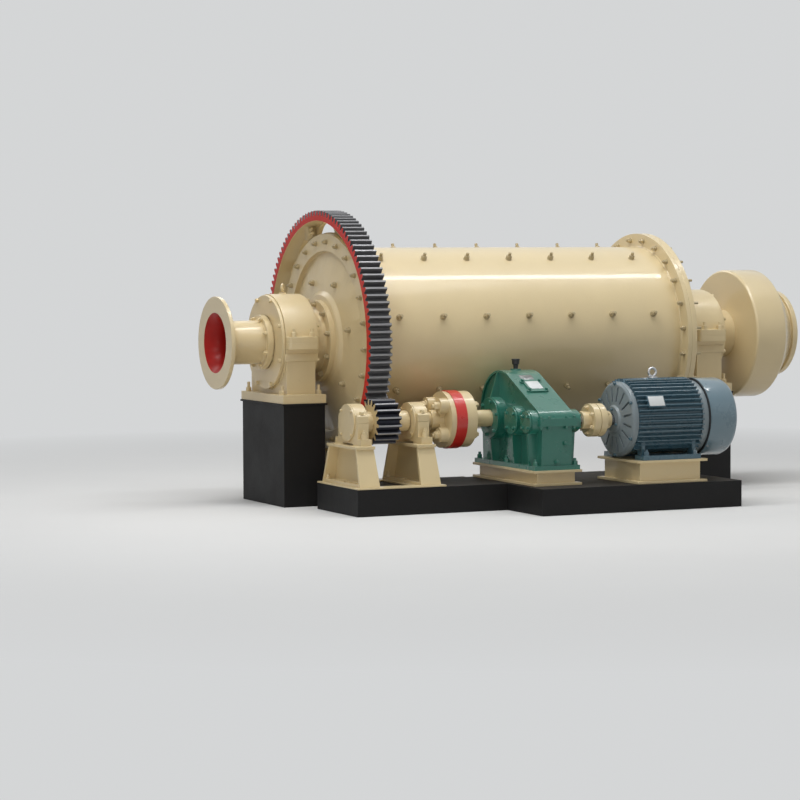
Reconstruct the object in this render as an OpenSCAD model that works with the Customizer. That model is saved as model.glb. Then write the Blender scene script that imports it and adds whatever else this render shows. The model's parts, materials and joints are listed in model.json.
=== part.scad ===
// Overflow ball mill, 1.2 m by 2.4 m, with its pinion drive, gearbox and motor.
// The mill axis runs along +X, from the feed end to the discharge end.
// The origin is on the floor, straight below the centre of the feed bearing.

/* [Mill shell] */
// Outside radius of the shell
shell_r = 612; // [560:2:650]
// Plate thickness of the shell
shell_wall = 14; // [10:1:20]
// Length of the shell between the outer faces of its end flanges
shell_len = 2315; // [1800:5:3000]
// Outside radius of the end flanges and of the heads
flange_r = 704; // [690:2:712]
// Thickness of each shell flange
shell_flange_t = 30; // [24:1:40]
// Height of the mill axis above the floor
axis_z = 1050; // [1040:5:1150]

/* [Heads] */
// Thickness of the bolting flange of a head
head_flange_t = 40; // [30:1:50]
// Radius of the recess inside the bolting flange
head_recess_r = 590; // [570:2:592]
// Depth of the recess from the face of the bolting flange
head_recess_d = 36; // [20:1:38]
// How far the trunnion pad stands out from the seat of the head
head_bulge = 79; // [70:1:100]
// Radius of the round pad that carries the trunnion
pad_r = 317; // [300:1:330]
// Plate thickness of the dished part
head_wall = 46; // [36:1:56]

/* [Trunnions] */
// Radius of the journal inside the bearing
journal_r = 190; // [180:1:200]
// Radius of the neck between head and bearing
neck_r = 197; // [192:1:204]
// Radius of the nose that passes through the outer bearing cover
nose_r = 165; // [158:1:172]
// Radius of the bore through the trunnion
trunnion_bore_r = 150; // [146:1:154]
// Radius of the trunnion flange
trunnion_flange_r = 270; // [255:1:290]
// Thickness of the trunnion flange
trunnion_flange_t = 35; // [25:1:45]

/* [Girth gear] */
// Gear module of the girth gear and the pinion
gear_module = 15;
// Number of teeth on the girth gear, an even number for the split
gear_teeth = 112;
// Width of the toothed rim
gear_face_w = 150; // [130:2:170]
// Radial thickness of the rim below the teeth
rim_t = 33; // [26:1:40]
// Thickness of the web
web_t = 30; // [24:1:36]
// Distance from the front of the rim to the front of the web
web_inset = 96; // [80:1:100]
// Number of windows between the spokes of the web
web_windows = 12; // [8:2:16]
// Radius of the arched windows
window_arc_r = 164; // [150:1:170]
// Play at the pitch circle, shared by the two gears
backlash = 1.7; // [1.4:0.1:3]

/* [Main bearings] */
// Outside radius of the bearing cap
cap_r = 312; // [305:1:320]
// Width of the bearing housing along the axis
housing_w = 216; // [200:2:224]
// Radius of the housing bore, where the bearing ring seats
housing_bore_r = 270; // [260:1:280]
// Distance from the feed bearing's centre to the pad of the feed head
feed_reach = 257; // [250:1:290]
// Distance from the pad of the discharge head to the discharge bearing's centre
discharge_reach = 306; // [280:1:330]
// Thickness of the bolted cover on the outer side
outer_cover_t = 22; // [16:1:28]
// Thickness of the bolted cover on the inner side
inner_cover_t = 15; // [12:1:20]
// Half width of the split ears
ear_y = 360; // [350:1:370]
// Thickness of each ear
ear_t = 40; // [34:1:46]
// Height of the pedestal from its underside to the axis
pedestal_h = 387; // [370:1:400]
// Half width of the pedestal column across the mill
column_y = 300; // [290:1:308]
// Length of the pedestal column along the mill
column_w = 200; // [180:2:206]
// How far the ledge stands out from the column
ledge_out = 8; // [4:1:10]
// Thickness of the ledge
ledge_t = 22; // [16:1:28]
// Distance from the axis down to the top of the ledge
ledge_drop = 96; // [90:1:110]
// Thickness of the pedestal foot
foot_t = 56; // [40:1:60]
// Half width of the pedestal foot across the mill
foot_y = 358; // [352:1:362]
// Half length of the pedestal foot along the mill
foot_x = 150; // [140:1:154]

/* [Plinths] */
// Length of a mill plinth along the mill
plinth_x = 312; // [308:2:330]
// Width of a mill plinth across the mill
plinth_y = 728; // [726:2:760]
// Plate thickness shown at the plinth edges
plinth_plate = 12; // [8:1:20]

/* [Feed trumpet] */
// Outer radius of the trumpet tube
tube_r = 142; // [136:1:144]
// Wall of the trumpet tube
tube_wall = 12; // [8:1:14]
// Radius of the bolting flange on the trunnion nose
seat_flange_r = 178; // [174:1:190]
// Thickness of the bolting flange
seat_flange_t = 40; // [25:1:45]
// Distance from the bearing centre to the mouth of the trumpet
trumpet_reach = 475; // [420:5:520]
// Radius of the mouth flange
mouth_flange_r = 300; // [290:1:310]
// Thickness of the mouth flange
mouth_flange_t = 26; // [18:1:34]
// Radius of the opening at the mouth
mouth_r = 195; // [185:1:205]
// Length of the flare behind the mouth flange
flare_len = 95; // [70:1:120]

/* [Discharge hood] */
// Radius of the hood drum
hood_r = 447; // [430:1:470]
// Length of the straight drum of the hood
hood_len = 233; // [200:1:260]
// Length of the cone behind the drum
hood_cone_len = 158; // [140:1:190]
// Radius of the outlet lip
lip_r = 300; // [285:1:315]
// Thickness of the outlet lip
lip_t = 40; // [25:1:50]
// Radius of the outlet
outlet_r = 262; // [250:1:270]
// Plate thickness of the hood
hood_wall = 10; // [8:1:14]
// Distance from the discharge bearing centre to the hood
hood_gap = 298; // [290:1:330]

/* [Pinion drive] */
// Number of teeth on the pinion
pinion_teeth = 17;
// Width of the pinion
pinion_w = 160; // [150:2:176]
// Height of the pinion axis above the floor
drive_z = 565; // [555:1:580]
// Radius of the pinion shaft
shaft_r = 50; // [42:1:54]
// Radius of the collars beside the pinion
collar_r = 66; // [56:1:72]
// Distance from the pinion centre to the inner faces of the stands
stand_gap = 140; // [136:1:150]
// Thickness of a stand at its foot, along the shaft
stand_t = 139; // [130:1:150]
// Thickness of a stand at its top, along the shaft
stand_top_t = 129; // [120:1:132]
// Width of a stand at its foot
stand_w = 580; // [560:2:600]
// Width of the top plate of a stand
stand_top_w = 457; // [440:1:470]
// Width of a stand below its top plate
stand_neck_w = 432; // [420:1:438]
// Height of a stand
stand_h = 249; // [240:1:256]
// Plate thickness at the top and the foot of a stand
stand_plate = 18; // [14:1:24]
// Thickness of the side walls of a stand
stand_wall = 22; // [16:1:30]
// Depth of the recess on the outer side of a stand
stand_recess = 77; // [60:1:84]
// Depth of the recess on the other side of a stand
stand_back_recess = 30; // [20:1:36]
// Length of the slot through the foot of a stand
stand_slot = 300; // [240:5:320]
// Height from the top of a stand to the shaft
block_h = 138; // [134:1:142]
// Outside radius of a pinion bearing housing
block_r = 118; // [116:1:122]
// Width of a pinion bearing housing along the shaft, between its covers
block_w = 76; // [70:1:80]
// How far the housings sit off the middle of the stands
block_shift = 18; // [10:1:22]
// Thickness of the covers on the pinion bearings
block_cover_t = 11; // [9:1:14]
// Half width of the bolt columns of a housing
column_out = 146; // [140:1:150]
// Height of the bolt columns above the shaft
column_up = 54; // [48:1:60]
// Width across the feet of a housing
block_foot_w = 388; // [370:2:396]
// Thickness of the feet of a housing
block_foot_t = 42; // [34:1:48]
// Thickness of the frame under the stands
frame_t = 10; // [8:1:14]
// How far the frame stands out around the stands
frame_border = 25; // [18:1:32]

/* [Coupling] */
// Distance from the pinion centre to the parting plane of the coupling
coupling_x = 472; // [468:1:480]
// Outside radius of the coupling flanges
coupling_r = 180; // [174:1:190]
// Thickness of the flange on the pinion side
coupling_t = 56; // [48:1:62]
// Length of the flange on the gearbox side
coupling_back_t = 118; // [104:1:124]
// Radius of the hub on the pinion side
coupling_hub_r = 64; // [60:1:70]
// Length of the hub on the pinion side
coupling_hub_len = 81; // [74:1:86]
// Number of barrels that hold the coupling's bolts
barrel_count = 4;
// Radius of each barrel
barrel_r = 48; // [42:1:50]
// Radius of the circle on which the barrels stand
barrel_circle_r = 131; // [124:1:131]
// How far the barrels stand out from the flange
barrel_out = 58; // [50:1:64]
// Width and thickness of the arms between the hub and the barrels
coupling_arm_w = 60; // [50:1:62]
coupling_arm_t = 34; // [26:1:44]

/* [Gearbox] */
// Distance from the pinion centre to the side of the gearbox case
gearbox_x = 835; // [825:1:850]
// Width of the gearbox case along the shafts
gearbox_w = 213; // [200:1:226]
// Distance between the slow and the fast shaft
shaft_spread = 500; // [480:5:520]
// Distance between the slow and the middle shaft
middle_spread = 300; // [290:5:310]
// Radius of the high arch over the slow gear
arch_r = 266; // [256:1:272]
// How far the centre of the high arch sits beside the slow shaft
arch_y = 30; // [20:1:36]
// How far the centre of the high arch sits above the shafts
arch_z = 40; // [30:1:46]
// Radius of the low arch over the fast pinion
low_arch_r = 85; // [80:1:92]
// Height from the gearbox foot to its shafts
gearbox_h = 300; // [290:1:310]
// Radius of the output shaft
output_r = 54; // [50:1:58]
// Radius of the fast shaft and of the motor shaft
fast_r = 30; // [25:1:34]
// Length of the bearing bosses on the case
boss_len = 62; // [50:1:66]
// Thickness of the bearing covers
cap_t = 12; // [8:1:14]
// Radius of the bosses around the slow, the middle and the fast shaft
slow_boss_r = 135; // [126:1:142]
middle_boss_r = 92; // [84:1:98]
fast_boss_r = 74; // [66:1:78]
// Width of the bead along the edge of the roof
bead_w = 14; // [10:1:18]
// How far the bead stands out from the side of the case
bead_t = 12; // [6:1:16]

/* [Motor] */
// Radius of the motor over its fins
motor_r = 258; // [250:1:264]
// Depth of the cooling fins
fin_d = 32; // [24:1:36]
// Number of cooling fins around the whole body
fin_count = 48; // [32:4:56]
// Length of the finned body
motor_len = 470; // [450:5:490]
// Height of the motor shaft above its feet
motor_h = 250; // [248:1:256]
// Thickness of the shield at the drive end
shield_t = 60; // [50:1:66]
// Thickness of the shield at the fan end
back_shield_t = 50; // [40:1:56]
// Length of the fan cover
fan_cover_len = 210; // [190:5:225]
// Gap between the gearbox bosses and the motor
motor_gap = 262; // [250:1:270]
// Length and height of the terminal box, and the thickness of the pad behind it
terminal_box_w = 170; // [150:5:190]
terminal_box_h = 150; // [130:5:170]
terminal_pad_t = 12; // [8:1:16]
// Radius of the flanges of the fast coupling
fast_coupling_r = 105; // [95:1:115]

/* [Hidden] */

// Radial gap where a still part seats on a round one, and where a shaft turns in its bore
seat_gap = 0.3;
// Smallest gap between a turning part and a still one beside it
run_gap = 6;

// Stations along the mill axis
gear_x = feed_reach + head_bulge - web_inset;
web_x = gear_x + web_inset;
shell_x = web_x + web_t;
shell_end = shell_x + shell_len;
feed_seat = web_x;
discharge_seat = shell_end;
feed_pad = feed_seat - head_bulge;
discharge_pad = discharge_seat + head_bulge;
bearing_span = discharge_pad + discharge_reach;
hood_x = bearing_span + hood_gap;
nose_end = housing_w / 2 + outer_cover_t + run_gap;

// Gear pair
pressure = 20;
gear_pitch_r = gear_module * gear_teeth / 2;
pinion_pitch_r = gear_module * pinion_teeth / 2;
centre_distance = gear_pitch_r + pinion_pitch_r;
gear_root_r = gear_pitch_r - 1.25 * gear_module;
rim_in_r = gear_root_r - rim_t;
tooth_pitch = 360 / gear_teeth;
drive_y = -sqrt(pow(centre_distance, 2) - pow(axis_z - drive_z, 2));
mesh_angle = atan2(drive_z - axis_z, drive_y);
split_angle = mesh_angle - 43.5 * tooth_pitch + 360;
pinion_x = gear_x + gear_face_w / 2;

// Stations along the drive
outer_stand_x = pinion_x - stand_gap - stand_t / 2;
inner_stand_x = pinion_x + stand_gap + stand_t / 2;
block_stations = [outer_stand_x + block_shift, inner_stand_x + block_shift];
coupling_mid = pinion_x + coupling_x;
gearbox_face = pinion_x + gearbox_x;
gearbox_back = gearbox_face + gearbox_w;
plinth_joint = gearbox_face - boss_len - 40;
fast_y = drive_y - shaft_spread;
motor_face = gearbox_back + boss_len + cap_t + motor_gap;
fast_mid = motor_face - motor_gap / 2;
motor_x = motor_face + shield_t;
motor_end = motor_x + motor_len;
stand_top_z = drive_z - block_h;
stand_z = stand_top_z - stand_h;
drive_plinth_h = stand_z - frame_t;
gearbox_foot_z = drive_z - gearbox_h;
motor_foot_z = drive_z - motor_h;
terminal_x = motor_x + 0.35 * motor_len;
terminal_z = drive_z - 40;
plinth_h = axis_z - pedestal_h;

// Gearbox case, measured from the slow shaft
roof_tilt = atan2(arch_z, shaft_spread - arch_y)
    + asin((arch_r - low_arch_r) / norm([shaft_spread - arch_y, arch_z]));
case_y0 = -shaft_spread - low_arch_r;
case_y1 = sqrt(pow(arch_r, 2) - pow(arch_z, 2)) - arch_y;
split_w = 24;
breather_boss_t = 8;

paint = [0.87, 0.80, 0.60];
plinth_black = [0.07, 0.07, 0.07];
bare_steel = [0.33, 0.34, 0.36];
zinc = [0.62, 0.64, 0.66];
gearbox_green = [0.12, 0.45, 0.36];
motor_teal = [0.16, 0.34, 0.40];
signal_red = [0.72, 0.10, 0.08];
cover_black = [0.05, 0.05, 0.06];

// A solid turned about the mill axis from points given as [radius, station]
module turned(points, z = axis_z) {
    translate([0, 0, z]) rotate([0, 90, 0]) rotate_extrude($fn = 96) polygon(points);
}

// A disc or ring about an axis along X, from station x0 to x1
module ring(x0, x1, r_out, r_in = 0, y = 0, z = axis_z) {
    translate([x0, y, z]) rotate([0, 90, 0]) difference() {
        cylinder(h = x1 - x0, r = r_out, $fn = 96);
        if (r_in > 0) translate([0, 0, -1]) cylinder(h = x1 - x0 + 2, r = r_in, $fn = 96);
    }
}

// A box from its centre in X and Y, its lowest level and its three sizes
module block(x, y, z, size) {
    translate([x - size[0] / 2, y - size[1] / 2, z]) cube(size);
}

// A flat outline drawn across the mill, carried along X
module across(x, thickness, y = 0, z = 0) {
    translate([x, y, z]) rotate([90, 0, 90]) linear_extrude(height = thickness) children();
}

// Points on an arc
function arc_points(cx, cy, r, a0, a1, steps) =
    [for (i = [0:steps]) let (a = a0 + (a1 - a0) * i / steps) [cx + r * cos(a), cy + r * sin(a)]];

// Half angle of an involute tooth at radius r
function involute(a) = tan(a) * 180 / PI - a;
function tooth_half_angle(r, pitch_r, teeth, play) =
    let (base_r = pitch_r * cos(pressure), at = acos(min(1, base_r / max(r, base_r))))
    90 / teeth - play / 4 / pitch_r * 180 / PI + involute(pressure) - involute(at);

// Outline of a toothed wheel with a tooth centred on angle zero
function wheel_points(teeth, pitch_r, steps, play, addendum, dedendum) =
    let (root = pitch_r - dedendum, tip = pitch_r + addendum)
    [for (t = [0:teeth - 1]) for (s = [-1, 1]) for (i = [0:steps])
        let (f = s < 0 ? i / steps : 1 - i / steps,
             r = root + (tip - root) * f,
             a = 360 * t / teeth + s * tooth_half_angle(r, pitch_r, teeth, play))
        [r * cos(a), r * sin(a)]];

// One dished head with its seat at station zero and its pad towards -X
module head_profile() {
    rotate([0, 90, 0]) rotate_extrude($fn = 96) polygon([
        [trunnion_bore_r, -head_bulge],
        [pad_r - 14, -head_bulge],
        [pad_r, -head_bulge + 14],
        [pad_r + 12, -head_bulge + 27],
        [pad_r + 120, -head_bulge + 38],
        [head_recess_r, head_recess_d - head_flange_t],
        [head_recess_r, -head_flange_t],
        [flange_r, -head_flange_t],
        [flange_r, 0],
        [shell_r - shell_wall - seat_gap, 0],
        [shell_r - shell_wall - seat_gap, head_wall],
        [shell_r - 2 * shell_wall - 20, head_wall],
        [pad_r + 110, head_wall - 34],
        [trunnion_bore_r, head_wall - 50]]);
}

// A trunnion with the back of its flange at station zero, its journal centred at -reach
module trunnion_profile(reach, tail) {
    inner = reach - housing_w / 2;
    outer = reach + housing_w / 2;
    rotate([0, 90, 0]) rotate_extrude($fn = 96) polygon([
        [trunnion_bore_r, 0],
        [trunnion_flange_r, 0],
        [trunnion_flange_r, -trunnion_flange_t],
        [neck_r + 14, -trunnion_flange_t],
        [neck_r, -trunnion_flange_t - 14],
        [neck_r, -inner],
        [journal_r, -inner],
        [journal_r, -outer],
        [nose_r, -outer],
        [nose_r, -reach - tail],
        [trunnion_bore_r, -reach - tail]]);
}

// Pedestal with the lower half of a main bearing housing
module main_pedestal(x) {
    foot_z = axis_z - pedestal_h;
    ledge_z = axis_z - ledge_drop;
    difference() {
        union() {
            translate([x - housing_w / 2, 0, axis_z]) rotate([0, 90, 0])
                cylinder(h = housing_w, r = cap_r, $fn = 96);
            block(x, 0, axis_z - ear_t, [housing_w, 2 * ear_y, ear_t]);
            block(x, 0, foot_z + foot_t, [column_w, 2 * column_y, ledge_z - foot_z - foot_t]);
            block(x, 0, ledge_z - ledge_t, [column_w + 2 * ledge_out, 2 * (column_y + ledge_out), ledge_t]);
            block(x, 0, foot_z, [2 * foot_x, 2 * foot_y, foot_t]);
        }
        translate([x, 0, axis_z + cap_r]) cube([2 * housing_w, 4 * cap_r, 2 * cap_r], center = true);
        translate([x - housing_w, 0, axis_z]) rotate([0, 90, 0])
            cylinder(h = 2 * housing_w, r = housing_bore_r, $fn = 96);
    }
}

// Upper half of a main bearing housing
module main_cap(x) {
    difference() {
        union() {
            translate([x - housing_w / 2, 0, axis_z]) rotate([0, 90, 0])
                cylinder(h = housing_w, r = cap_r, $fn = 96);
            block(x, 0, axis_z, [housing_w, 2 * ear_y, ear_t]);
        }
        translate([x, 0, axis_z - cap_r]) cube([2 * housing_w, 4 * cap_r, 2 * cap_r], center = true);
        translate([x - housing_w, 0, axis_z]) rotate([0, 90, 0])
            cylinder(h = 2 * housing_w, r = housing_bore_r, $fn = 96);
    }
}

// One half of the girth gear, on the side that the angle points to
module gear_half(angle) {
    reach = gear_pitch_r + 2 * gear_module;
    spoke_pitch = 360 / web_windows;
    window_r = rim_in_r - window_arc_r;
    translate([0, 0, axis_z]) intersection() {
        union() {
            across(gear_x, gear_face_w) difference() {
                rotate(mesh_angle) polygon(wheel_points(gear_teeth, gear_pitch_r, 3, backlash,
                    gear_module, 1.25 * gear_module));
                circle(r = rim_in_r, $fn = 96);
            }
            across(web_x, web_t) difference() {
                circle(r = rim_in_r + 4, $fn = 96);
                circle(r = shell_r - shell_wall, $fn = 96);
                for (i = [0:web_windows - 1]) rotate(split_angle + spoke_pitch * (i + 0.5)) difference() {
                    translate([window_r, 0]) circle(r = window_arc_r - 1, $fn = 48);
                    circle(r = flange_r + 8, $fn = 96);
                }
            }
            for (s = [0, 180]) across(web_x - 52, 60) rotate(split_angle + s)
                translate([flange_r + 10, -34]) square([rim_in_r - flange_r - 6, 68]);
        }
        across(gear_x - 1, gear_face_w + 2) rotate(angle) translate([0, -reach]) square([reach, 2 * reach]);
    }
}

module feed_plinth() { color(plinth_black) mill_plinth(0); }
module discharge_plinth() { color(plinth_black) mill_plinth(bearing_span); }
module mill_plinth(x) {
    block(x, 0, 0, [plinth_x - 2 * plinth_plate, plinth_y - 2 * plinth_plate, plinth_h - plinth_plate]);
    block(x, 0, plinth_h - plinth_plate, [plinth_x, plinth_y, plinth_plate]);
}
module feed_bearing_pedestal() { color(paint) main_pedestal(0); }
module discharge_bearing_pedestal() { color(paint) main_pedestal(bearing_span); }
module feed_bearing_cap() { color(paint) main_cap(0); }
module discharge_bearing_cap() { color(paint) main_cap(bearing_span); }
module main_bearing_covers() {
    half = housing_w / 2;
    cover_r = cap_r - 6;
    color(paint) {
        ring(-half - outer_cover_t, -half, cover_r, nose_r + run_gap);
        ring(half, half + inner_cover_t, cover_r, neck_r + run_gap);
        ring(bearing_span - half - inner_cover_t, bearing_span - half, cover_r, neck_r + run_gap);
        ring(bearing_span + half, bearing_span + half + outer_cover_t, cover_r, nose_r + run_gap);
    }
}
module main_bearing_rings() {
    half = housing_w / 2 - 20;
    color(bare_steel) for (x = [0, bearing_span])
        ring(x - half, x + half, housing_bore_r - seat_gap, journal_r + seat_gap);
}

module mill_shell() {
    color(paint) ring(shell_x + shell_flange_t, shell_end - shell_flange_t, shell_r, shell_r - shell_wall);
}
module shell_end_flanges() {
    color(paint) for (s = [0, 1]) translate([(shell_x + shell_end) / 2, 0, 0]) mirror([s, 0, 0])
        ring(shell_len / 2 - shell_flange_t, shell_len / 2, flange_r, shell_r - shell_wall);
}
module feed_head() { color(paint) translate([feed_seat, 0, axis_z]) head_profile(); }
module discharge_head() {
    color(paint) translate([discharge_seat, 0, axis_z]) mirror([1, 0, 0]) head_profile();
}
module feed_trunnion() {
    color(paint) translate([feed_pad, 0, axis_z]) trunnion_profile(feed_pad, nose_end);
}
module discharge_trunnion() {
    color(paint) translate([discharge_pad, 0, axis_z]) mirror([1, 0, 0])
        trunnion_profile(bearing_span - discharge_pad, hood_gap);
}
module girth_gear_upper_half() { color(bare_steel) gear_half(split_angle - 90); }
module girth_gear_lower_half() { color(bare_steel) gear_half(split_angle + 90); }

module feed_trumpet() {
    in_r = tube_r - tube_wall;
    mouth = -trumpet_reach;
    bell = mouth_flange_t + flare_len;
    steps = 6;
    outside = [for (i = [0:steps]) let (s = (1 - i / steps) * flare_len / bell)
        [tube_r + (mouth_r - in_r) * s * s, mouth + bell * (1 - s)]];
    inside = [for (i = [0:steps]) let (s = i / steps) [in_r + (mouth_r - in_r) * s * s, mouth + bell * (1 - s)]];
    color(paint) turned(concat(
        [[mouth_flange_r, mouth], [mouth_flange_r, mouth + mouth_flange_t]],
        outside,
        [[tube_r, -nose_end - seat_flange_t], [seat_flange_r, -nose_end - seat_flange_t],
            [seat_flange_r, -nose_end], [tube_r, -nose_end], [tube_r, feed_pad], [in_r, feed_pad]],
        inside));
}
module discharge_hood() {
    back_t = 14;
    edge = 12;
    cone = hood_x + hood_len;
    lip = cone + hood_cone_len;
    color(paint) turned([
        [trunnion_bore_r, hood_x],
        [hood_r - edge, hood_x],
        [hood_r, hood_x + edge],
        [hood_r, cone],
        [outlet_r + hood_wall, lip],
        [lip_r, lip],
        [lip_r, lip + lip_t],
        [outlet_r, lip + lip_t],
        [outlet_r, lip],
        [hood_r - hood_wall, cone],
        [hood_r - hood_wall, hood_x + back_t],
        [trunnion_bore_r, hood_x + back_t]]);
}
module manhole_cover() {
    lid_w = 380;
    lid_l = 460;
    lid_t = 22;
    color(paint) translate([(shell_x + shell_end) / 2, 0, axis_z]) intersection() {
        rotate([0, 90, 0]) difference() {
            cylinder(h = lid_l, r = shell_r + lid_t, center = true, $fn = 96);
            cylinder(h = lid_l + 2, r = shell_r + seat_gap, center = true, $fn = 96);
        }
        translate([-lid_l / 2, 0, -lid_w / 2]) cube([lid_l, shell_r + 2 * lid_t, lid_w]);
    }
}

module pinion_plinth() {
    x0 = outer_stand_x - stand_t / 2 - frame_border;
    color(plinth_black) block((x0 + plinth_joint) / 2, drive_y, 0,
        [plinth_joint - x0, stand_w + 2 * frame_border, drive_plinth_h]);
}
module gearbox_plinth() {
    x1 = motor_end + back_shield_t + fan_cover_len;
    y1 = drive_y + arch_r;
    y0 = fast_y - motor_r - frame_border;
    color(plinth_black) block((plinth_joint + x1) / 2, (y0 + y1) / 2, 0, [x1 - plinth_joint, y1 - y0,
        drive_plinth_h]);
}
module drive_base_frame() {
    bar = 70;
    x0 = outer_stand_x - stand_t / 2 - frame_border;
    x1 = inner_stand_x + stand_t / 2 + frame_border;
    color(paint) difference() {
        block((x0 + x1) / 2, drive_y, drive_plinth_h, [x1 - x0, stand_w + 2 * frame_border, frame_t]);
        block(pinion_x, drive_y, drive_plinth_h - 1, [2 * stand_gap - bar, stand_w - 2 * bar, frame_t + 2]);
    }
}

// A stand with sloping sides and a top plate, recessed on both faces, with a slot in its foot
module pinion_stand(x) {
    top_z = stand_h - stand_plate;
    slope = (stand_w - stand_neck_w) / 2 / top_z;
    pocket_y = stand_w / 2 - stand_wall - slope * stand_plate;
    slot_w = 35;
    slot_y = -85;
    translate([x, drive_y, stand_z]) difference() {
        intersection() {
            across(-stand_t / 2, stand_t) polygon([[-stand_w / 2, 0], [stand_w / 2, 0],
                [stand_neck_w / 2, top_z], [stand_top_w / 2, top_z], [stand_top_w / 2, stand_h],
                [-stand_top_w / 2, stand_h], [-stand_top_w / 2, top_z], [-stand_neck_w / 2, top_z]]);
            translate([0, stand_w, 0]) rotate([90, 0, 0]) linear_extrude(height = 2 * stand_w) polygon([
                [-stand_t / 2, 0], [stand_t / 2, 0], [stand_top_t / 2 - 5, top_z], [stand_top_t / 2, top_z],
                [stand_top_t / 2, stand_h], [-stand_top_t / 2, stand_h], [-stand_top_t / 2, top_z],
                [-stand_top_t / 2 + 5, top_z]]);
        }
        for (cut = [[-stand_t, stand_t / 2 + stand_recess], [stand_t / 2 - stand_back_recess, stand_t]])
            across(cut[0], cut[1]) polygon([[-pocket_y, stand_plate], [pocket_y, stand_plate],
                [stand_neck_w / 2 - stand_wall, top_z], [-stand_neck_w / 2 + stand_wall, top_z]]);
        block(-stand_t / 2 + stand_recess / 2, slot_y, -1, [slot_w, stand_slot, stand_plate + 2]);
    }
}
module outer_pinion_stand() { color(paint) pinion_stand(outer_stand_x); }
module inner_pinion_stand() { color(paint) pinion_stand(inner_stand_x); }

module pinion_bearing_blocks() {
    relief_w = 150;
    relief_h = 10;
    boss_h = 26;
    boss_r = 22;
    boss_y = block_foot_w / 2 - boss_r - 4;
    color(paint) for (x = block_stations) difference() {
        union() {
            ring(x - block_w / 2, x + block_w / 2, block_r, y = drive_y, z = drive_z);
            block(x, drive_y, stand_top_z, [block_w, block_foot_w, block_foot_t]);
            block(x, drive_y, stand_top_z, [block_w, 2 * column_out, block_h]);
            for (s = [-1, 1]) translate([x, drive_y + s * boss_y, stand_top_z + block_foot_t - 1])
                cylinder(h = boss_h + 1, r = boss_r, $fn = 32);
        }
        translate([x, drive_y, drive_z + block_r]) cube([2 * block_w, 4 * block_r, 2 * block_r], center = true);
        block(x, drive_y, stand_top_z - 1, [2 * block_w, relief_w, relief_h + 1]);
        ring(x - block_w, x + block_w, shaft_r + seat_gap, y = drive_y, z = drive_z);
    }
}
module pinion_bearing_caps() {
    edge = 10;
    color(paint) for (x = block_stations) difference() {
        union() {
            ring(x - block_w / 2, x + block_w / 2, block_r, y = drive_y, z = drive_z);
            across(x - block_w / 2, block_w, drive_y, drive_z) polygon([[-column_out, 0], [column_out, 0],
                [column_out, column_up - edge], [column_out - edge, column_up], [-column_out + edge, column_up],
                [-column_out, column_up - edge]]);
        }
        translate([x, drive_y, drive_z - block_r]) cube([2 * block_w, 4 * block_r, 2 * block_r], center = true);
        ring(x - block_w, x + block_w, shaft_r + seat_gap, y = drive_y, z = drive_z);
    }
}
module pinion_bearing_covers() {
    half = block_w / 2;
    cover_r = block_r - 1;
    first = block_stations[0];
    last = block_stations[1];
    color(paint) {
        ring(first - half - block_cover_t, first - half, cover_r, y = drive_y, z = drive_z);
        for (x = [first + half, last - half - block_cover_t, last + half])
            ring(x, x + block_cover_t, cover_r, shaft_r + run_gap, y = drive_y, z = drive_z);
    }
}

// A channel-shaped seat between a drive plinth and the foot of a machine
module machine_seat(x, y, length, width, height) {
    flange = 16;
    depth = 34;
    difference() {
        block(x, y, drive_plinth_h, [length, width, height]);
        for (s = [-1, 1]) {
            block(x + s * length / 2, y, drive_plinth_h + flange, [2 * depth, width + 2, height - 2 * flange]);
            block(x, y + s * width / 2, drive_plinth_h + flange, [length + 2, 2 * depth, height - 2 * flange]);
        }
    }
}
module gearbox_seat() {
    color(paint) machine_seat((gearbox_face + gearbox_back) / 2, drive_y + (case_y0 + case_y1) / 2,
        gearbox_w + 2 * boss_len, case_y1 - case_y0 + 40, gearbox_foot_z - drive_plinth_h);
}
// Outline of the upper half of the gearbox case, across the shafts
function gearbox_outline(inset) = concat(
    arc_points(-shaft_spread, 0, low_arch_r - inset, 180, 90 + roof_tilt, 8),
    arc_points(-arch_y, arch_z, arch_r - inset, 90 + roof_tilt, -asin(arch_z / (arch_r - inset)), 20));
module bosses(x0, x1) {
    ring(x0, x1, slow_boss_r, y = drive_y, z = drive_z);
    ring(x0, x1, middle_boss_r, y = drive_y - middle_spread, z = drive_z);
    ring(x0, x1, fast_boss_r, y = fast_y, z = drive_z);
}
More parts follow.
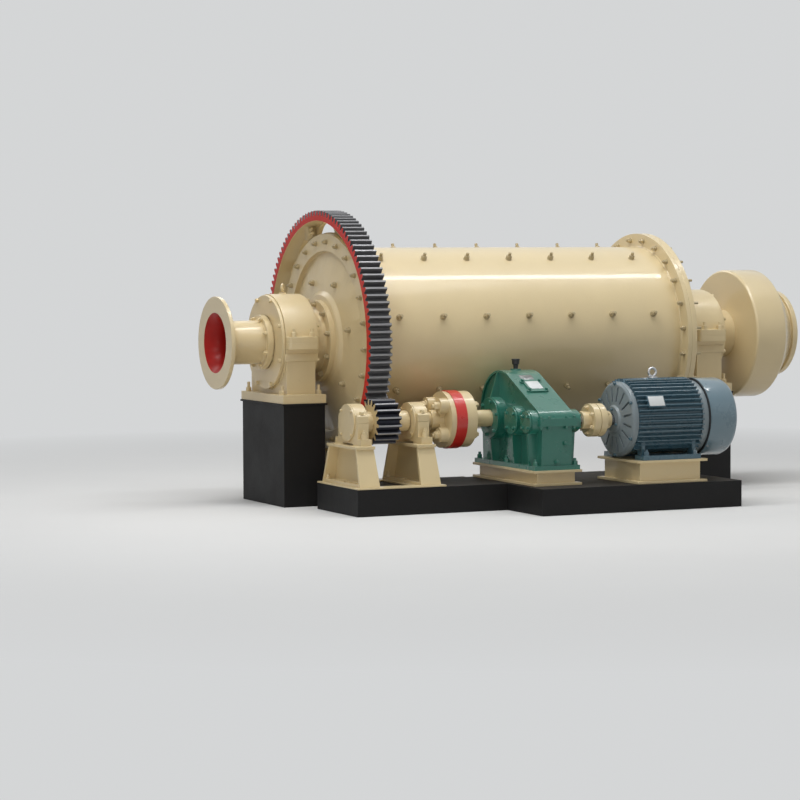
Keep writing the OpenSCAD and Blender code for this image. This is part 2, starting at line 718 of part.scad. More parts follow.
// A flat rib on both sides of the case, from a profile of [distance from the case, height]
module side_rib(y, points) {
    rib_t = 16;
    middle = (gearbox_face + gearbox_back) / 2;
    for (s = [0, 1]) translate([middle, drive_y + y + rib_t / 2, drive_z]) mirror([s, 0, 0])
        translate([-gearbox_w / 2, 0, 0]) rotate([90, 0, 0]) linear_extrude(height = rib_t) polygon(points);
}
module gearbox_upper_case() {
    breather_boss_r = 34;
    color(gearbox_green) {
        across(gearbox_face, gearbox_w, drive_y, drive_z) polygon(gearbox_outline(0));
        across(gearbox_face - bead_t, gearbox_w + 2 * bead_t, drive_y, drive_z) difference() {
            polygon(gearbox_outline(0));
            polygon(gearbox_outline(bead_w));
        }
        across(gearbox_face - split_w, gearbox_w + 2 * split_w, drive_y, drive_z) polygon([
            [case_y0 - split_w, 0], [case_y1 + split_w, 0], [case_y1 + split_w, split_w],
            [case_y0 - split_w, split_w]]);
        difference() {
            bosses(gearbox_face - boss_len, gearbox_back + boss_len);
            block(gearbox_face, drive_y, drive_z - block_h, [4 * gearbox_w, 4 * shaft_spread, block_h]);
        }
        side_rib(0, [[1, slow_boss_r - 20], [-boss_len, slow_boss_r - 20], [-boss_len, slow_boss_r - 1],
            [-bead_t, arch_z + arch_r - bead_w], [1, arch_z + arch_r - bead_w]]);
        translate([(gearbox_face + gearbox_back) / 2, drive_y - arch_y, drive_z + arch_z + arch_r - 8])
            cylinder(h = 8 + breather_boss_t, r = breather_boss_r, $fn = 32);
    }
}
module gearbox_lower_case() {
    foot_plate = 28;
    color(gearbox_green) {
        across(gearbox_face, gearbox_w, drive_y, drive_z) polygon([[case_y0, 0], [case_y0 + 12, -gearbox_h],
            [case_y1 - 12, -gearbox_h], [case_y1, 0]]);
        across(gearbox_face - split_w, gearbox_w + 2 * split_w, drive_y, drive_z) polygon([
            [case_y0 - split_w, -split_w], [case_y1 + split_w, -split_w], [case_y1 + split_w, 0],
            [case_y0 - split_w, 0]]);
        across(gearbox_face - boss_len + 10, gearbox_w + 2 * boss_len - 20, drive_y, drive_z) polygon([
            [case_y0 - 10, -gearbox_h], [case_y1 + 10, -gearbox_h], [case_y1 + 10, -gearbox_h + foot_plate],
            [case_y0 - 10, -gearbox_h + foot_plate]]);
        difference() {
            bosses(gearbox_face - boss_len, gearbox_back + boss_len);
            block(gearbox_face, drive_y, drive_z, [4 * gearbox_w, 4 * shaft_spread, 2 * block_h]);
        }
        for (rib = [[0, slow_boss_r], [-middle_spread, middle_boss_r], [-shaft_spread, fast_boss_r]])
            side_rib(rib[0], [[1, -gearbox_h + foot_plate - 1], [-boss_len + 12, -gearbox_h + foot_plate - 1],
                [-boss_len, -rib[1] + 2], [-boss_len, -rib[1] + 20], [1, -rib[1] + 20]]);
    }
}
module gearbox_bearing_caps() {
    front = gearbox_face - boss_len;
    back = gearbox_back + boss_len;
    middle_y = drive_y - middle_spread;
    rim = 5;
    color(gearbox_green) {
        ring(front - cap_t, front, slow_boss_r - rim, output_r + run_gap, y = drive_y, z = drive_z);
        ring(back, back + cap_t, slow_boss_r - rim, y = drive_y, z = drive_z);
        for (x = [front - cap_t, back]) ring(x, x + cap_t, middle_boss_r - rim, y = middle_y, z = drive_z);
        ring(front - cap_t, front, fast_boss_r - rim, y = fast_y, z = drive_z);
        ring(back, back + cap_t, fast_boss_r - rim, fast_r + run_gap, y = fast_y, z = drive_z);
    }
}
// The flat roof between the two arches carries the hatch
roof_a = [-shaft_spread - low_arch_r * sin(roof_tilt), low_arch_r * cos(roof_tilt)];
roof_b = [-arch_y - arch_r * sin(roof_tilt), arch_z + arch_r * cos(roof_tilt)];
module on_roof(share) {
    p = roof_a + (roof_b - roof_a) * share;
    translate([(gearbox_face + gearbox_back) / 2, drive_y + p[0], drive_z + p[1]]) rotate([roof_tilt, 0, 0])
        children();
}
module gearbox_hatch() {
    hatch_w = 120;
    hatch_l = 146;
    hatch_t = 10;
    ear = 17;
    gasket = 0.1;
    color(gearbox_green) on_roof(0.67) {
        block(0, 0, gasket, [hatch_w, hatch_l, hatch_t]);
        for (s = [-1, 1], t = [-1, 1]) translate([s * hatch_w / 2, t * (hatch_l / 2 - ear), gasket])
            cylinder(h = hatch_t, r = ear, $fn = 32);
    }
}
module gearbox_breather() {
    low = 26;
    high = 38;
    color(cover_black) translate([(gearbox_face + gearbox_back) / 2, drive_y - arch_y,
            drive_z + arch_z + arch_r + breather_boss_t]) rotate_extrude($fn = 48) polygon([[0, 0], [14, 0],
        [17, low], [23, low + 4], [24.5, low + high - 9], [27, low + high - 8], [27, low + high],
        [0, low + high]]);
}

module motor_seat() {
    color(paint) machine_seat(motor_x + motor_len / 2, fast_y, motor_len + 40, 2 * motor_r,
        motor_foot_z - drive_plinth_h);
}
module motor_body() {
    in_r = motor_r - fin_d;
    fin_pitch = 360 / fin_count;
    foot_y_mid = 195;
    rib_h = 120;
    terminal_edge = 5;
    color(motor_teal) {
        translate([0, fast_y, drive_z]) across(motor_x, motor_len) polygon([for (i = [0:fin_count - 1])
            for (c = [[-0.5, 0], [-0.16, 0], [-0.1, 1], [0.1, 1], [0.16, 0]])
                let (a = fin_pitch * (i + c[0]), finned = sin(fin_pitch * i) > -0.75,
                     r = in_r + (finned ? fin_d * c[1] : 0)) [r * cos(a), r * sin(a)]]);
        for (s = [-1, 1]) block(motor_x + motor_len / 2, fast_y + s * foot_y_mid, motor_foot_z,
            [motor_len - 50, 110, 30]);
        for (s = [-1, 1], x = [50, motor_len - 50]) block(motor_x + x, fast_y + s * (foot_y_mid - 15),
            motor_foot_z + 29, [26, 50, rib_h]);
        translate([motor_x + motor_len / 2, fast_y, drive_z + in_r - 4])
            cylinder(h = fin_d + 4, r = 34, $fn = 32);
        block(terminal_x, fast_y + (in_r + motor_r - terminal_pad_t) / 2, terminal_z + 2 * terminal_edge,
            [terminal_box_w - 2 * terminal_edge, motor_r + 3 * terminal_pad_t - in_r,
            terminal_box_h - 4 * terminal_edge]);
    }
}
module motor_end_shields() {
    in_r = motor_r - fin_d;
    slots = 16;
    slot_w = 14;
    bearing_w = 25;
    rim_r = in_r + 12;
    color(motor_teal) {
        difference() {
            translate([0, fast_y, 0]) turned([[fast_r + run_gap, motor_face], [80, motor_face],
                [92, motor_face + 14], [rim_r - 16, motor_face + 22], [rim_r, motor_face + 34], [rim_r, motor_x],
                [fast_r + seat_gap, motor_x], [fast_r + seat_gap, motor_x - bearing_w],
                [fast_r + run_gap, motor_x - bearing_w]], drive_z);
            for (i = [0:slots - 1]) translate([motor_face, fast_y, drive_z])
                rotate([(i + 0.5) * 360 / slots, 0, 0]) translate([0, -slot_w / 2, in_r / 2])
                    cube([34, slot_w, in_r - in_r / 2 - 18]);
        }
        translate([0, fast_y, 0]) turned([[0, motor_end], [rim_r, motor_end], [rim_r, motor_end + back_shield_t],
            [0, motor_end + back_shield_t]], drive_z);
    }
}
module motor_fan_cover() {
    x = motor_end + back_shield_t;
    cover_r = motor_r - 8;
    wall = 8;
    edge = 34;
    grille_bars = 9;
    color(motor_teal) {
        translate([0, fast_y, 0]) turned([[0, x], [cover_r, x], [cover_r, x + fan_cover_len - edge],
            [cover_r - 0.3 * edge, x + fan_cover_len - 0.3 * edge], [cover_r - edge, x + fan_cover_len],
            [cover_r - edge - wall, x + fan_cover_len], [cover_r - edge - wall, x + fan_cover_len - 20],
            [0, x + fan_cover_len - 20]], drive_z);
        intersection() {
            for (i = [0:grille_bars - 1]) block(x + fan_cover_len - 15, fast_y, drive_z + 44 * (i - 4) - 3,
                [12, 2 * cover_r, 6]);
            ring(x, x + fan_cover_len, cover_r - edge - wall / 2, y = fast_y, z = drive_z);
        }
    }
}
module motor_terminal_box() {
    box_y = fast_y + motor_r + terminal_pad_t;
    depth = 100;
    lid_t = 12;
    lid_edge = 4;
    lid = [terminal_box_w + 2 * lid_edge, lid_t, terminal_box_h + 2 * lid_edge];
    color(motor_teal) {
        block(terminal_x, box_y + depth / 2, terminal_z, [terminal_box_w, depth, terminal_box_h]);
        block(terminal_x, box_y + depth + lid_t / 2 - 1, terminal_z - lid_edge, lid);
    }
}
module motor_eyebolt() {
    eye_r = 26;
    bar_r = 8;
    color(zinc) translate([motor_x + motor_len / 2, fast_y, drive_z + motor_r]) {
        cylinder(h = bar_r, r = eye_r + bar_r, $fn = 32);
        translate([0, 0, 1.25 * bar_r + eye_r]) rotate([90, 0, 0])
            rotate_extrude($fn = 32) translate([eye_r, 0]) circle(r = bar_r, $fn = 16);
    }
}

module pinion() {
    color(bare_steel) translate([0, drive_y, drive_z]) across(pinion_x - pinion_w / 2, pinion_w) difference() {
        rotate(mesh_angle + 180 + 180 / pinion_teeth) polygon(wheel_points(pinion_teeth, pinion_pitch_r, 5,
            backlash, gear_module, 1.25 * gear_module));
        circle(r = shaft_r + seat_gap, $fn = 96);
    }
}
module pinion_shaft() {
    x0 = block_stations[0] - block_w / 2 + 1;
    inner = block_stations[0] + block_w / 2 + block_cover_t + run_gap;
    outer = block_stations[1] - block_w / 2 - block_cover_t - run_gap;
    color(paint) {
        ring(x0, coupling_mid - 1, shaft_r, y = drive_y, z = drive_z);
        ring(inner, pinion_x - pinion_w / 2, collar_r, shaft_r - 1, y = drive_y, z = drive_z);
        ring(pinion_x + pinion_w / 2, outer, collar_r, shaft_r - 1, y = drive_y, z = drive_z);
        ring(coupling_mid + 1, gearbox_face - boss_len - 1, output_r, y = drive_y, z = drive_z);
    }
}
module slow_coupling() {
    half_gap = 3;
    face = coupling_mid - half_gap;
    front = face - coupling_t;
    arm_start = coupling_hub_r - 8;
    color(paint) {
        ring(front, face, coupling_r, shaft_r + seat_gap, y = drive_y, z = drive_z);
        ring(front - coupling_hub_len, front + 1, coupling_hub_r, shaft_r + seat_gap, y = drive_y, z = drive_z);
        for (i = [0:barrel_count - 1]) let (a = 360 / barrel_count * (i + 0.5)) {
            ring(front - barrel_out, front + 1, barrel_r, y = drive_y + barrel_circle_r * cos(a),
                z = drive_z + barrel_circle_r * sin(a));
            translate([front - coupling_arm_t, drive_y, drive_z]) rotate([a, 0, 0])
                translate([0, arm_start, -coupling_arm_w / 2])
                    cube([coupling_arm_t + 1, barrel_circle_r - arm_start, coupling_arm_w]);
        }
        ring(coupling_mid + half_gap, coupling_mid + half_gap + coupling_back_t, coupling_r,
            output_r + seat_gap, y = drive_y, z = drive_z);
    }
}
module slow_coupling_band() {
    front = 26;
    back = 48;
    band_t = 6;
    color(signal_red) ring(coupling_mid - front, coupling_mid + back, coupling_r + band_t,
        coupling_r + seat_gap, y = drive_y, z = drive_z);
}
module fast_coupling() {
    flange_w = 46;
    hub_w = 56;
    hub_r = 56;
    color(paint) translate([fast_mid, 0, 0]) for (s = [0, 1]) mirror([s, 0, 0]) {
        ring(2, flange_w, fast_coupling_r, fast_r + seat_gap, y = fast_y, z = drive_z);
        ring(flange_w - 1, flange_w + hub_w, hub_r, fast_r + seat_gap, y = fast_y, z = drive_z);
    }
}
module motor_shaft() {
    color(zinc) {
        ring(gearbox_back + boss_len + 1, fast_mid - 1, fast_r, y = fast_y, z = drive_z);
        ring(fast_mid + 1, motor_x - 1, fast_r, y = fast_y, z = drive_z);
    }
}

feed_plinth();
discharge_plinth();
feed_bearing_pedestal();
discharge_bearing_pedestal();
feed_bearing_cap();
discharge_bearing_cap();
main_bearing_covers();
main_bearing_rings();
pinion_plinth();
gearbox_plinth();
drive_base_frame();
outer_pinion_stand();
inner_pinion_stand();
pinion_bearing_blocks();
pinion_bearing_caps();
pinion_bearing_covers();
gearbox_seat();
gearbox_lower_case();
gearbox_upper_case();
gearbox_bearing_caps();
gearbox_hatch();
gearbox_breather();
motor_seat();
motor_body();
motor_end_shields();
motor_fan_cover();
motor_terminal_box();
motor_eyebolt();
mill_shell();
shell_end_flanges();
feed_head();
discharge_head();
feed_trunnion();
discharge_trunnion();
girth_gear_upper_half();
girth_gear_lower_half();
feed_trumpet();
discharge_hood();
manhole_cover();
pinion();
pinion_shaft();
slow_coupling();
slow_coupling_band();
fast_coupling();
motor_shaft();
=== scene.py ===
import json
import math
import random

import bmesh
import bpy
from mathutils import Euler, Matrix, Vector

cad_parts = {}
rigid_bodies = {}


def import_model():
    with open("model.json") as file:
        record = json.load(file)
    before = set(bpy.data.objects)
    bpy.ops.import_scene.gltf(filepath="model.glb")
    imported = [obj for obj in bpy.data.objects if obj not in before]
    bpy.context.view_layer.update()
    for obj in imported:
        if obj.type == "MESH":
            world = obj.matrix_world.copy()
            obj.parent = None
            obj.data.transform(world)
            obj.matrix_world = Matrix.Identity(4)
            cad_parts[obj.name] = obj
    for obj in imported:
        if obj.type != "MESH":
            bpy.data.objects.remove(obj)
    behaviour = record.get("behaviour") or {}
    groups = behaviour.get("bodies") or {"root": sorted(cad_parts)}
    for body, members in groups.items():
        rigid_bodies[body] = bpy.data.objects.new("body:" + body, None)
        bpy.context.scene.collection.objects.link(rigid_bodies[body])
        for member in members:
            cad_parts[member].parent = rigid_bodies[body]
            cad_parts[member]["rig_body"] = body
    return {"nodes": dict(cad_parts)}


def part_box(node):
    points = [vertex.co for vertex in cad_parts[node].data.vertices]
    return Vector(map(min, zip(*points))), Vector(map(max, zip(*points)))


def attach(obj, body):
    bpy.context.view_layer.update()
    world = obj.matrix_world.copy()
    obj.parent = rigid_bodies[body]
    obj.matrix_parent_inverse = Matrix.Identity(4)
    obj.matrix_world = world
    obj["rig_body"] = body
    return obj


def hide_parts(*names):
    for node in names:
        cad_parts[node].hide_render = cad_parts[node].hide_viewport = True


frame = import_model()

nodes = frame["nodes"]
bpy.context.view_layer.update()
chance = random.Random(7)  # gives each bolt the same turn at every run

STILL = "foundation"
DRUM = "mill_drum"
LINE = "pinion_line"
MOTOR_LINE = "motor_line"

PLUS_X = Vector((1, 0, 0))
MINUS_X = Vector((-1, 0, 0))
UP = Vector((0, 0, 1))
DOWN = Vector((0, 0, -1))


def axis_of(node):
    """The Y and Z of a node's middle, where the axis of a round node along X runs."""
    low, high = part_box(node)
    return (low.y + high.y) / 2, (low.z + high.z) / 2


def ends_of(node):
    """A node's lowest and highest X."""
    low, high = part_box(node)
    return low.x, high.x


def around(axis, x, radius, degrees):
    """A point round an axis along X, with its angle counted from +Y towards +Z."""
    a = math.radians(degrees)
    return Vector((x, axis[0] + radius * math.cos(a), axis[1] + radius * math.sin(a)))


def outward(axis, point):
    """The direction that leads from an axis along X straight out to a point."""
    return Vector((0, point.y - axis[0], point.z - axis[1])).normalized()


MILL = axis_of("mill_shell")
DRIVE = axis_of("pinion")
FAST = axis_of("motor_shaft")

# Finishes

CREAM = (0.715, 0.580, 0.335)
RED = (0.590, 0.022, 0.015)
GREEN = (0.018, 0.162, 0.116)
SLATE = (0.058, 0.125, 0.165)
# Painted highlight: the fan cover takes a lighter copy of the motor's blue-grey, as if lit.
SLATE_PAINTED_LIT = (0.135, 0.215, 0.262)
GREY = (0.215, 0.262, 0.285)
LABEL_WHITE = (0.72, 0.74, 0.74)
DUST = (0.62, 0.58, 0.50)
CLOUD_RANGE = (0.3, 0.7)
TINT_SCALE = 1.7
SPECK_SCALE = 38.0
DUST_SCALE = 5.0
WEAR_SCALE = 9.0
CASTING_SCALE = 26.0
PEEL_SCALE = 420.0
PEEL_DEPTH = 0.00022
FACING_LEAST = 0.7


def darker(colour, share):
    return tuple(c * share for c in colour)


class Graph:
    """A node tree with short calls to add nodes, link them and reckon with them."""

    # The colour slots of a Mix node
    MIX_FIRST, MIX_SECOND, MIX_RESULT = 6, 7, 2

    def __init__(self, tree):
        self.tree = tree

    def add(self, kind, **values):
        node = self.tree.nodes.new(kind)
        for key, value in values.items():
            setattr(node, key, value)
        return node

    def link(self, source, target):
        self.tree.links.new(source, target)

    def maths(self, operation, *values):
        """The result of a Math node; each value is a number or a socket."""
        node = self.add("ShaderNodeMath", operation=operation)
        for slot, value in zip(node.inputs, values):
            if isinstance(value, (int, float)):
                slot.default_value = value
            else:
                self.link(value, slot)
        return node.outputs[0]

    def length(self, a, b):
        squares = self.maths("ADD", self.maths("MULTIPLY", a, a), self.maths("MULTIPLY", b, b))
        return self.maths("SQRT", squares)

    def span(self, source, low, high, to_low=0.0, to_high=1.0):
        """The stretch from low to high, spread over another range and cut off at its ends."""
        node = self.add("ShaderNodeMapRange")
        limits = {"From Min": low, "From Max": high, "To Min": to_low, "To Max": to_high}
        for key, value in limits.items():
            node.inputs[key].default_value = value
        self.link(source, node.inputs["Value"])
        return node.outputs[0]

    def blend(self, mask, low, high):
        """A colour between two, each a colour or a socket."""
        node = self.add("ShaderNodeMix", data_type="RGBA")
        self.link(mask, node.inputs[0])
        for slot, value in ((self.MIX_FIRST, low), (self.MIX_SECOND, high)):
            if isinstance(value, tuple):
                node.inputs[slot].default_value = (*value, 1)
            else:
                self.link(value, node.inputs[slot])
        return node.outputs[self.MIX_RESULT]

    def seen(self):
        """1 for what the camera sees, straight or in a gloss, and 0 for what only lights other things."""
        ray = self.add("ShaderNodeLightPath")
        return self.maths("MAXIMUM", ray.outputs["Is Camera Ray"], ray.outputs["Is Glossy Ray"])

    def mix_shaders(self, mask, first, second):
        node = self.add("ShaderNodeMixShader")
        for source, target in zip((mask, first, second), node.inputs):
            self.link(source, target)
        return node.outputs[0]


class Finish(Graph):
    """A material that starts from one Principled shader and reads Object coordinates."""

    def __init__(self, name, colour, roughness, metallic=0.0, coat=0.0, coat_roughness=0.05):
        self.material = bpy.data.materials.new(name)
        self.material.use_nodes = True
        super().__init__(self.material.node_tree)
        self.tree.nodes.clear()
        self.out = self.add("ShaderNodeOutputMaterial")
        self.skin = self.add("ShaderNodeBsdfPrincipled")
        self.link(self.skin.outputs["BSDF"], self.out.inputs["Surface"])
        self.where = self.add("ShaderNodeTexCoord")
        self.relief = None
        self.set_input("Base Color", (*colour, 1))
        self.set_input("Roughness", roughness)
        self.set_input("Metallic", metallic)
        self.set_input("Coat Weight", coat)
        self.set_input("Coat Roughness", coat_roughness)

    def set_input(self, key, value):
        self.skin.inputs[key].default_value = value

    def drive(self, key, source):
        self.link(source, self.skin.inputs[key])

    def split(self, coordinate):
        """The X, Y and Z of the Object or Normal coordinates."""
        node = self.add("ShaderNodeSeparateXYZ")
        self.link(self.where.outputs[coordinate], node.inputs["Vector"])
        return [node.outputs[axis] for axis in "XYZ"]

    def from_axis(self, axis):
        """X, then Y and Z counted from an axis along X, then the distance from it."""
        x, y, z = self.split("Object")
        y = self.maths("SUBTRACT", y, axis[0])
        z = self.maths("SUBTRACT", z, axis[1])
        return x, y, z, self.length(y, z)

    def faces_x(self):
        """1 on faces that look along X, either way."""
        return self.maths("GREATER_THAN", self.maths("ABSOLUTE", self.split("Normal")[0]), FACING_LEAST)

    def noise(self, scale, detail, rough=0.55, stretch=None):
        node = self.add("ShaderNodeTexNoise")
        for key, value in {"Scale": scale, "Detail": detail, "Roughness": rough}.items():
            node.inputs[key].default_value = value
        place = self.where.outputs["Object"]
        if stretch:
            mapping = self.add("ShaderNodeMapping")
            mapping.inputs["Scale"].default_value = stretch
            self.link(place, mapping.inputs["Vector"])
            place = mapping.outputs["Vector"]
        self.link(place, node.inputs["Vector"])
        return node.outputs["Fac"]

    def cloud(self, noise, to_low=0.0, to_high=1.0):
        """A noise with its middle stretched, for soft changes."""
        return self.span(noise, *CLOUD_RANGE, to_low, to_high)

    def bump(self, height, distance):
        """Relief on top of the relief that is already there."""
        node = self.add("ShaderNodeBump")
        node.inputs["Distance"].default_value = distance
        self.link(height, node.inputs["Height"])
        if self.relief:
            self.link(self.relief.outputs[0], node.inputs["Normal"])
        self.relief = node
        self.drive("Normal", node.outputs[0])

    def orange_peel(self):
        self.bump(self.noise(PEEL_SCALE, 1.0, 0.5), PEEL_DEPTH)


def enamel(name, colour, roughness, coat, cast=0.0, dust=0.10, coat_roughness=0.06):
    """Sprayed enamel: soft tint changes, orange peel, a little dust, and a casting's skin where asked."""
    f = Finish(name, colour, roughness, coat=coat, coat_roughness=coat_roughness)
    base = f.blend(f.cloud(f.noise(TINT_SCALE, 4.0)), darker(colour, 0.93), colour)
    specks = f.span(f.noise(SPECK_SCALE, 5.0, 0.7), 0.62, 0.78, 0.0, 0.35)
    base = f.blend(specks, base, darker(colour, 0.72))
    upward = f.span(f.split("Normal")[2], 0.5, 1.0, 0.0, dust)
    film = f.maths("MULTIPLY", upward, f.noise(DUST_SCALE, 6.0, 0.65))
    f.drive("Base Color", f.blend(film, base, DUST))
    f.drive("Roughness", f.cloud(f.noise(WEAR_SCALE, 4.0, 0.6), roughness * 0.82, roughness * 1.22))
    if cast:
        f.bump(f.noise(CASTING_SCALE, 5.0, 0.6), cast)
    f.orange_peel()
    return f.material


def black_paint():
    """Satin black on the plinths, scuffed and dusty on top."""
    f = Finish("satin_black_paint", (0.006, 0.006, 0.007), 0.6)
    f.set_input("Specular IOR Level", 0.25)
    patches = f.noise(2.2, 6.0, 0.65)
    scuffs = f.span(f.noise(14.0, 6.0, 0.7, stretch=(1.0, 1.0, 0.35)), 0.60, 0.80, 0.0, 0.5)
    base = f.blend(f.cloud(patches), (0.0045, 0.0045, 0.005), (0.0085, 0.008, 0.008))
    upward = f.span(f.split("Normal")[2], 0.4, 1.0, 0.0, 0.16)
    base = f.blend(f.maths("MULTIPLY", upward, patches), base, (0.20, 0.18, 0.15))
    f.drive("Base Color", f.blend(scuffs, base, (0.018, 0.017, 0.016)))
    f.drive("Roughness", f.cloud(patches, 0.50, 0.68))
    f.bump(f.noise(60.0, 4.0), 0.0006)
    return f.material


def metal(name, colour, roughness, scale=60.0, stretch=None):
    """Bare metal with a fine grain."""
    f = Finish(name, colour, roughness, metallic=1.0)
    grain = f.noise(scale, 4.0, 0.6, stretch=stretch)
    f.drive("Base Color", f.blend(f.cloud(grain), darker(colour, 0.72), colour))
    f.drive("Roughness", f.cloud(grain, roughness * 0.65, roughness * 1.35))
    f.bump(grain, 0.00018)
    return f.material


def gear_finish(name, axis, root, tip, side_colour, web_colour, web_radius, flank, bare_from, shine):
    """Cut teeth of bare steel with a painted highlight on the tips: a lighter grey band just under the tip
    radius. Side faces are painted as far as bare_from, and everything below the root is painted too."""
    f = Finish(name, flank, 0.38, metallic=shine)
    f.set_input("Specular IOR Level", 0.25)
    radius = f.from_axis(axis)[3]
    side = f.faces_x()
    streak = f.noise(70.0, 4.0, 0.6, stretch=(0.15, 3.0, 3.0))
    # Painted highlight: the tooth tips turn a lighter grey, with a little more metal, in a thin band just
    # under the tip radius.
    painted_tip_highlight = f.span(radius, tip - 0.0035, tip - 0.0008)
    cut = f.blend(painted_tip_highlight, f.blend(f.cloud(streak), darker(flank, 0.6), flank), (0.30, 0.30, 0.31))
    tint = f.cloud(f.noise(2.0, 4.0))
    web = f.blend(tint, darker(web_colour, 0.92), web_colour)
    face = f.blend(tint, darker(side_colour, 0.85), side_colour)
    paint = f.blend(f.maths("LESS_THAN", radius, web_radius), face, web)
    toothed = f.maths("GREATER_THAN", radius, root)
    covered = f.maths("MULTIPLY", side, f.maths("LESS_THAN", radius, bare_from))
    painted = f.maths("MAXIMUM", f.maths("SUBTRACT", 1.0, toothed), covered)
    steel_colour = f.blend(side, cut, (0.56, 0.56, 0.58))
    f.drive("Base Color", f.blend(painted, steel_colour, paint))
    gloss = f.maths("ADD", f.maths("MULTIPLY", painted_tip_highlight, 0.20), shine)
    f.drive("Metallic", f.maths("MULTIPLY", f.maths("SUBTRACT", 1.0, painted), gloss))
    f.drive("Roughness", f.cloud(streak, 0.34, 0.50))
    f.bump(streak, 0.00035)
    return f.material


TRUMPET_BORE = 0.1405
BELL_RADIUS = 0.1965
BELL_START = -0.4495
MOUTH_EDGE = 0.1950


def trumpet_paint():
    """Cream outside, red inside the bell and the tube."""
    coat, level = 0.6, 0.5
    f = Finish("cream_outside_red_inside", CREAM, 0.36, coat=coat, coat_roughness=0.06)
    x, y, z, radius = f.from_axis(MILL)
    normal = f.split("Normal")
    bore = f.maths("LESS_THAN", radius, TRUMPET_BORE)
    bell = f.maths("LESS_THAN", radius, BELL_RADIUS)
    bell = f.maths("MULTIPLY", bell, f.maths("LESS_THAN", x, BELL_START))
    outwards = f.maths("ADD", f.maths("MULTIPLY", y, normal[1]), f.maths("MULTIPLY", z, normal[2]))
    inside = f.maths("MAXIMUM", bore, f.maths("MAXIMUM", bell, f.maths("LESS_THAN", outwards, -0.01)))
    rim = f.maths("MULTIPLY", f.faces_x(), f.maths("GREATER_THAN", radius, MOUTH_EDGE))
    inside = f.maths("MULTIPLY", inside, f.maths("SUBTRACT", 1.0, rim))
    tint = f.cloud(f.noise(TINT_SCALE, 4.0))
    cream_tint = f.blend(tint, darker(CREAM, 0.93), CREAM)
    red_tint = f.blend(tint, darker(RED, 0.60), darker(RED, 0.74))
    f.drive("Base Color", f.blend(inside, cream_tint, red_tint))
    f.drive("Coat Weight", f.maths("SUBTRACT", coat, f.maths("MULTIPLY", inside, 0.52)))
    f.drive("Specular IOR Level", f.maths("SUBTRACT", level, f.maths("MULTIPLY", inside, 0.35)))
    f.orange_peel()
    return f.material


cream = enamel("cream_enamel", CREAM, roughness=0.36, coat=0.6, coat_roughness=0.10)
cream_cast = enamel("cream_enamel_on_castings", CREAM, roughness=0.40, coat=0.5, cast=0.0010,
                    coat_roughness=0.24)
# Painted shade: the nuts get a darker copy of the cream enamel, standing in for the shade on and round them.
cream_nut_painted_shade = enamel("cream_enamel_darkened_as_painted_shade_on_nuts", darker(CREAM, 0.66), roughness=0.42, coat=0.25, dust=0.05)
cream_plate = enamel("cream_enamel_on_plates", CREAM, roughness=0.42, coat=0.35)
red = enamel("red_enamel", RED, roughness=0.32, coat=0.5, dust=0.03)
green = enamel("green_enamel_on_castings", GREEN, roughness=0.30, coat=0.55, cast=0.0012, dust=0.14)
slate = enamel("blue_grey_enamel", SLATE, roughness=0.28, coat=0.55, cast=0.0003, dust=0.05)
# Painted highlight: lighter blue-grey, as if lit, for the fan cover and its edge band.
slate_painted_lit = enamel("blue_grey_enamel_painted_lighter_as_lit", SLATE_PAINTED_LIT, roughness=0.30, coat=0.6, dust=0.05)
shield_grey = enamel("grey_enamel_on_motor_shields", GREY, roughness=0.42, coat=0.3, cast=0.0008)
bare_label = enamel("bare_white_plate", LABEL_WHITE, roughness=0.35, coat=0.2, dust=0.0)
plastic = enamel("black_moulded_plastic", (0.012, 0.012, 0.014), roughness=0.45, coat=0.1, dust=0.12)
# Painted shade: near-black for the shadow in the gap at the fan cover.
shadow_gap = enamel("painted_gap_shade", (0.010, 0.012, 0.014), roughness=0.7, coat=0.0, dust=0.0)
black = black_paint()
zinc = metal("galvanised_steel", (0.60, 0.61, 0.62), roughness=0.34, scale=45.0)
steel = metal("turned_steel", (0.46, 0.46, 0.47), roughness=0.28, stretch=(0.2, 5.0, 5.0))
bare_metal_label = metal("bare_metal_plate", (0.30, 0.31, 0.31), roughness=0.45)
# The gear and pinion finishes both carry the painted highlight on their tooth tips.
gear_paint = gear_finish("girth_gear_steel_and_paint", MILL, root=0.8195, tip=0.855, side_colour=RED,
                         web_colour=CREAM, web_radius=0.7885, flank=(0.135, 0.135, 0.142), bare_from=0.853,
                         shine=0.12)
pinion_paint = gear_finish("pinion_steel_and_paint", DRIVE, root=0.1080, tip=0.1425, side_colour=CREAM,
                           web_colour=CREAM, web_radius=0.9, flank=(0.036, 0.038, 0.052), bare_from=0.9,
                           shine=0.55)
trumpet = trumpet_paint()

# Pieces

ROUND_STEPS = 96
BEAD_SIDES = 10
MERGE_DISTANCE = 0.00001


def mesh_object(name, bm, material):
    """An object in the scene that takes over a bmesh."""
    mesh = bpy.data.meshes.new(name)
    bm.to_mesh(mesh)
    bm.free()
    mesh.materials.append(material)
    piece = bpy.data.objects.new(name, mesh)
    bpy.context.scene.collection.objects.link(piece)
    return piece


def finish_piece(name, bm, body, material, smooth=None):
    """A piece that rides on a body; edges sharper than smooth degrees stay sharp."""
    piece = mesh_object(name, bm, material)
    if smooth is not None:
        piece.data.shade_smooth()
        piece.data.set_sharp_from_angle(angle=math.radians(smooth))
    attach(piece, body)
    return piece


def spin_round(bm, verts, edges, centre, axis, steps=ROUND_STEPS):
    """An outline spun through a full turn, closed, with its faces outwards."""
    bmesh.ops.spin(bm, geom=verts + edges, cent=centre, axis=axis, angle=math.tau, steps=steps,
                   use_merge=True)
    bmesh.ops.remove_doubles(bm, verts=bm.verts, dist=MERGE_DISTANCE)
    bmesh.ops.recalc_face_normals(bm, faces=bm.faces)


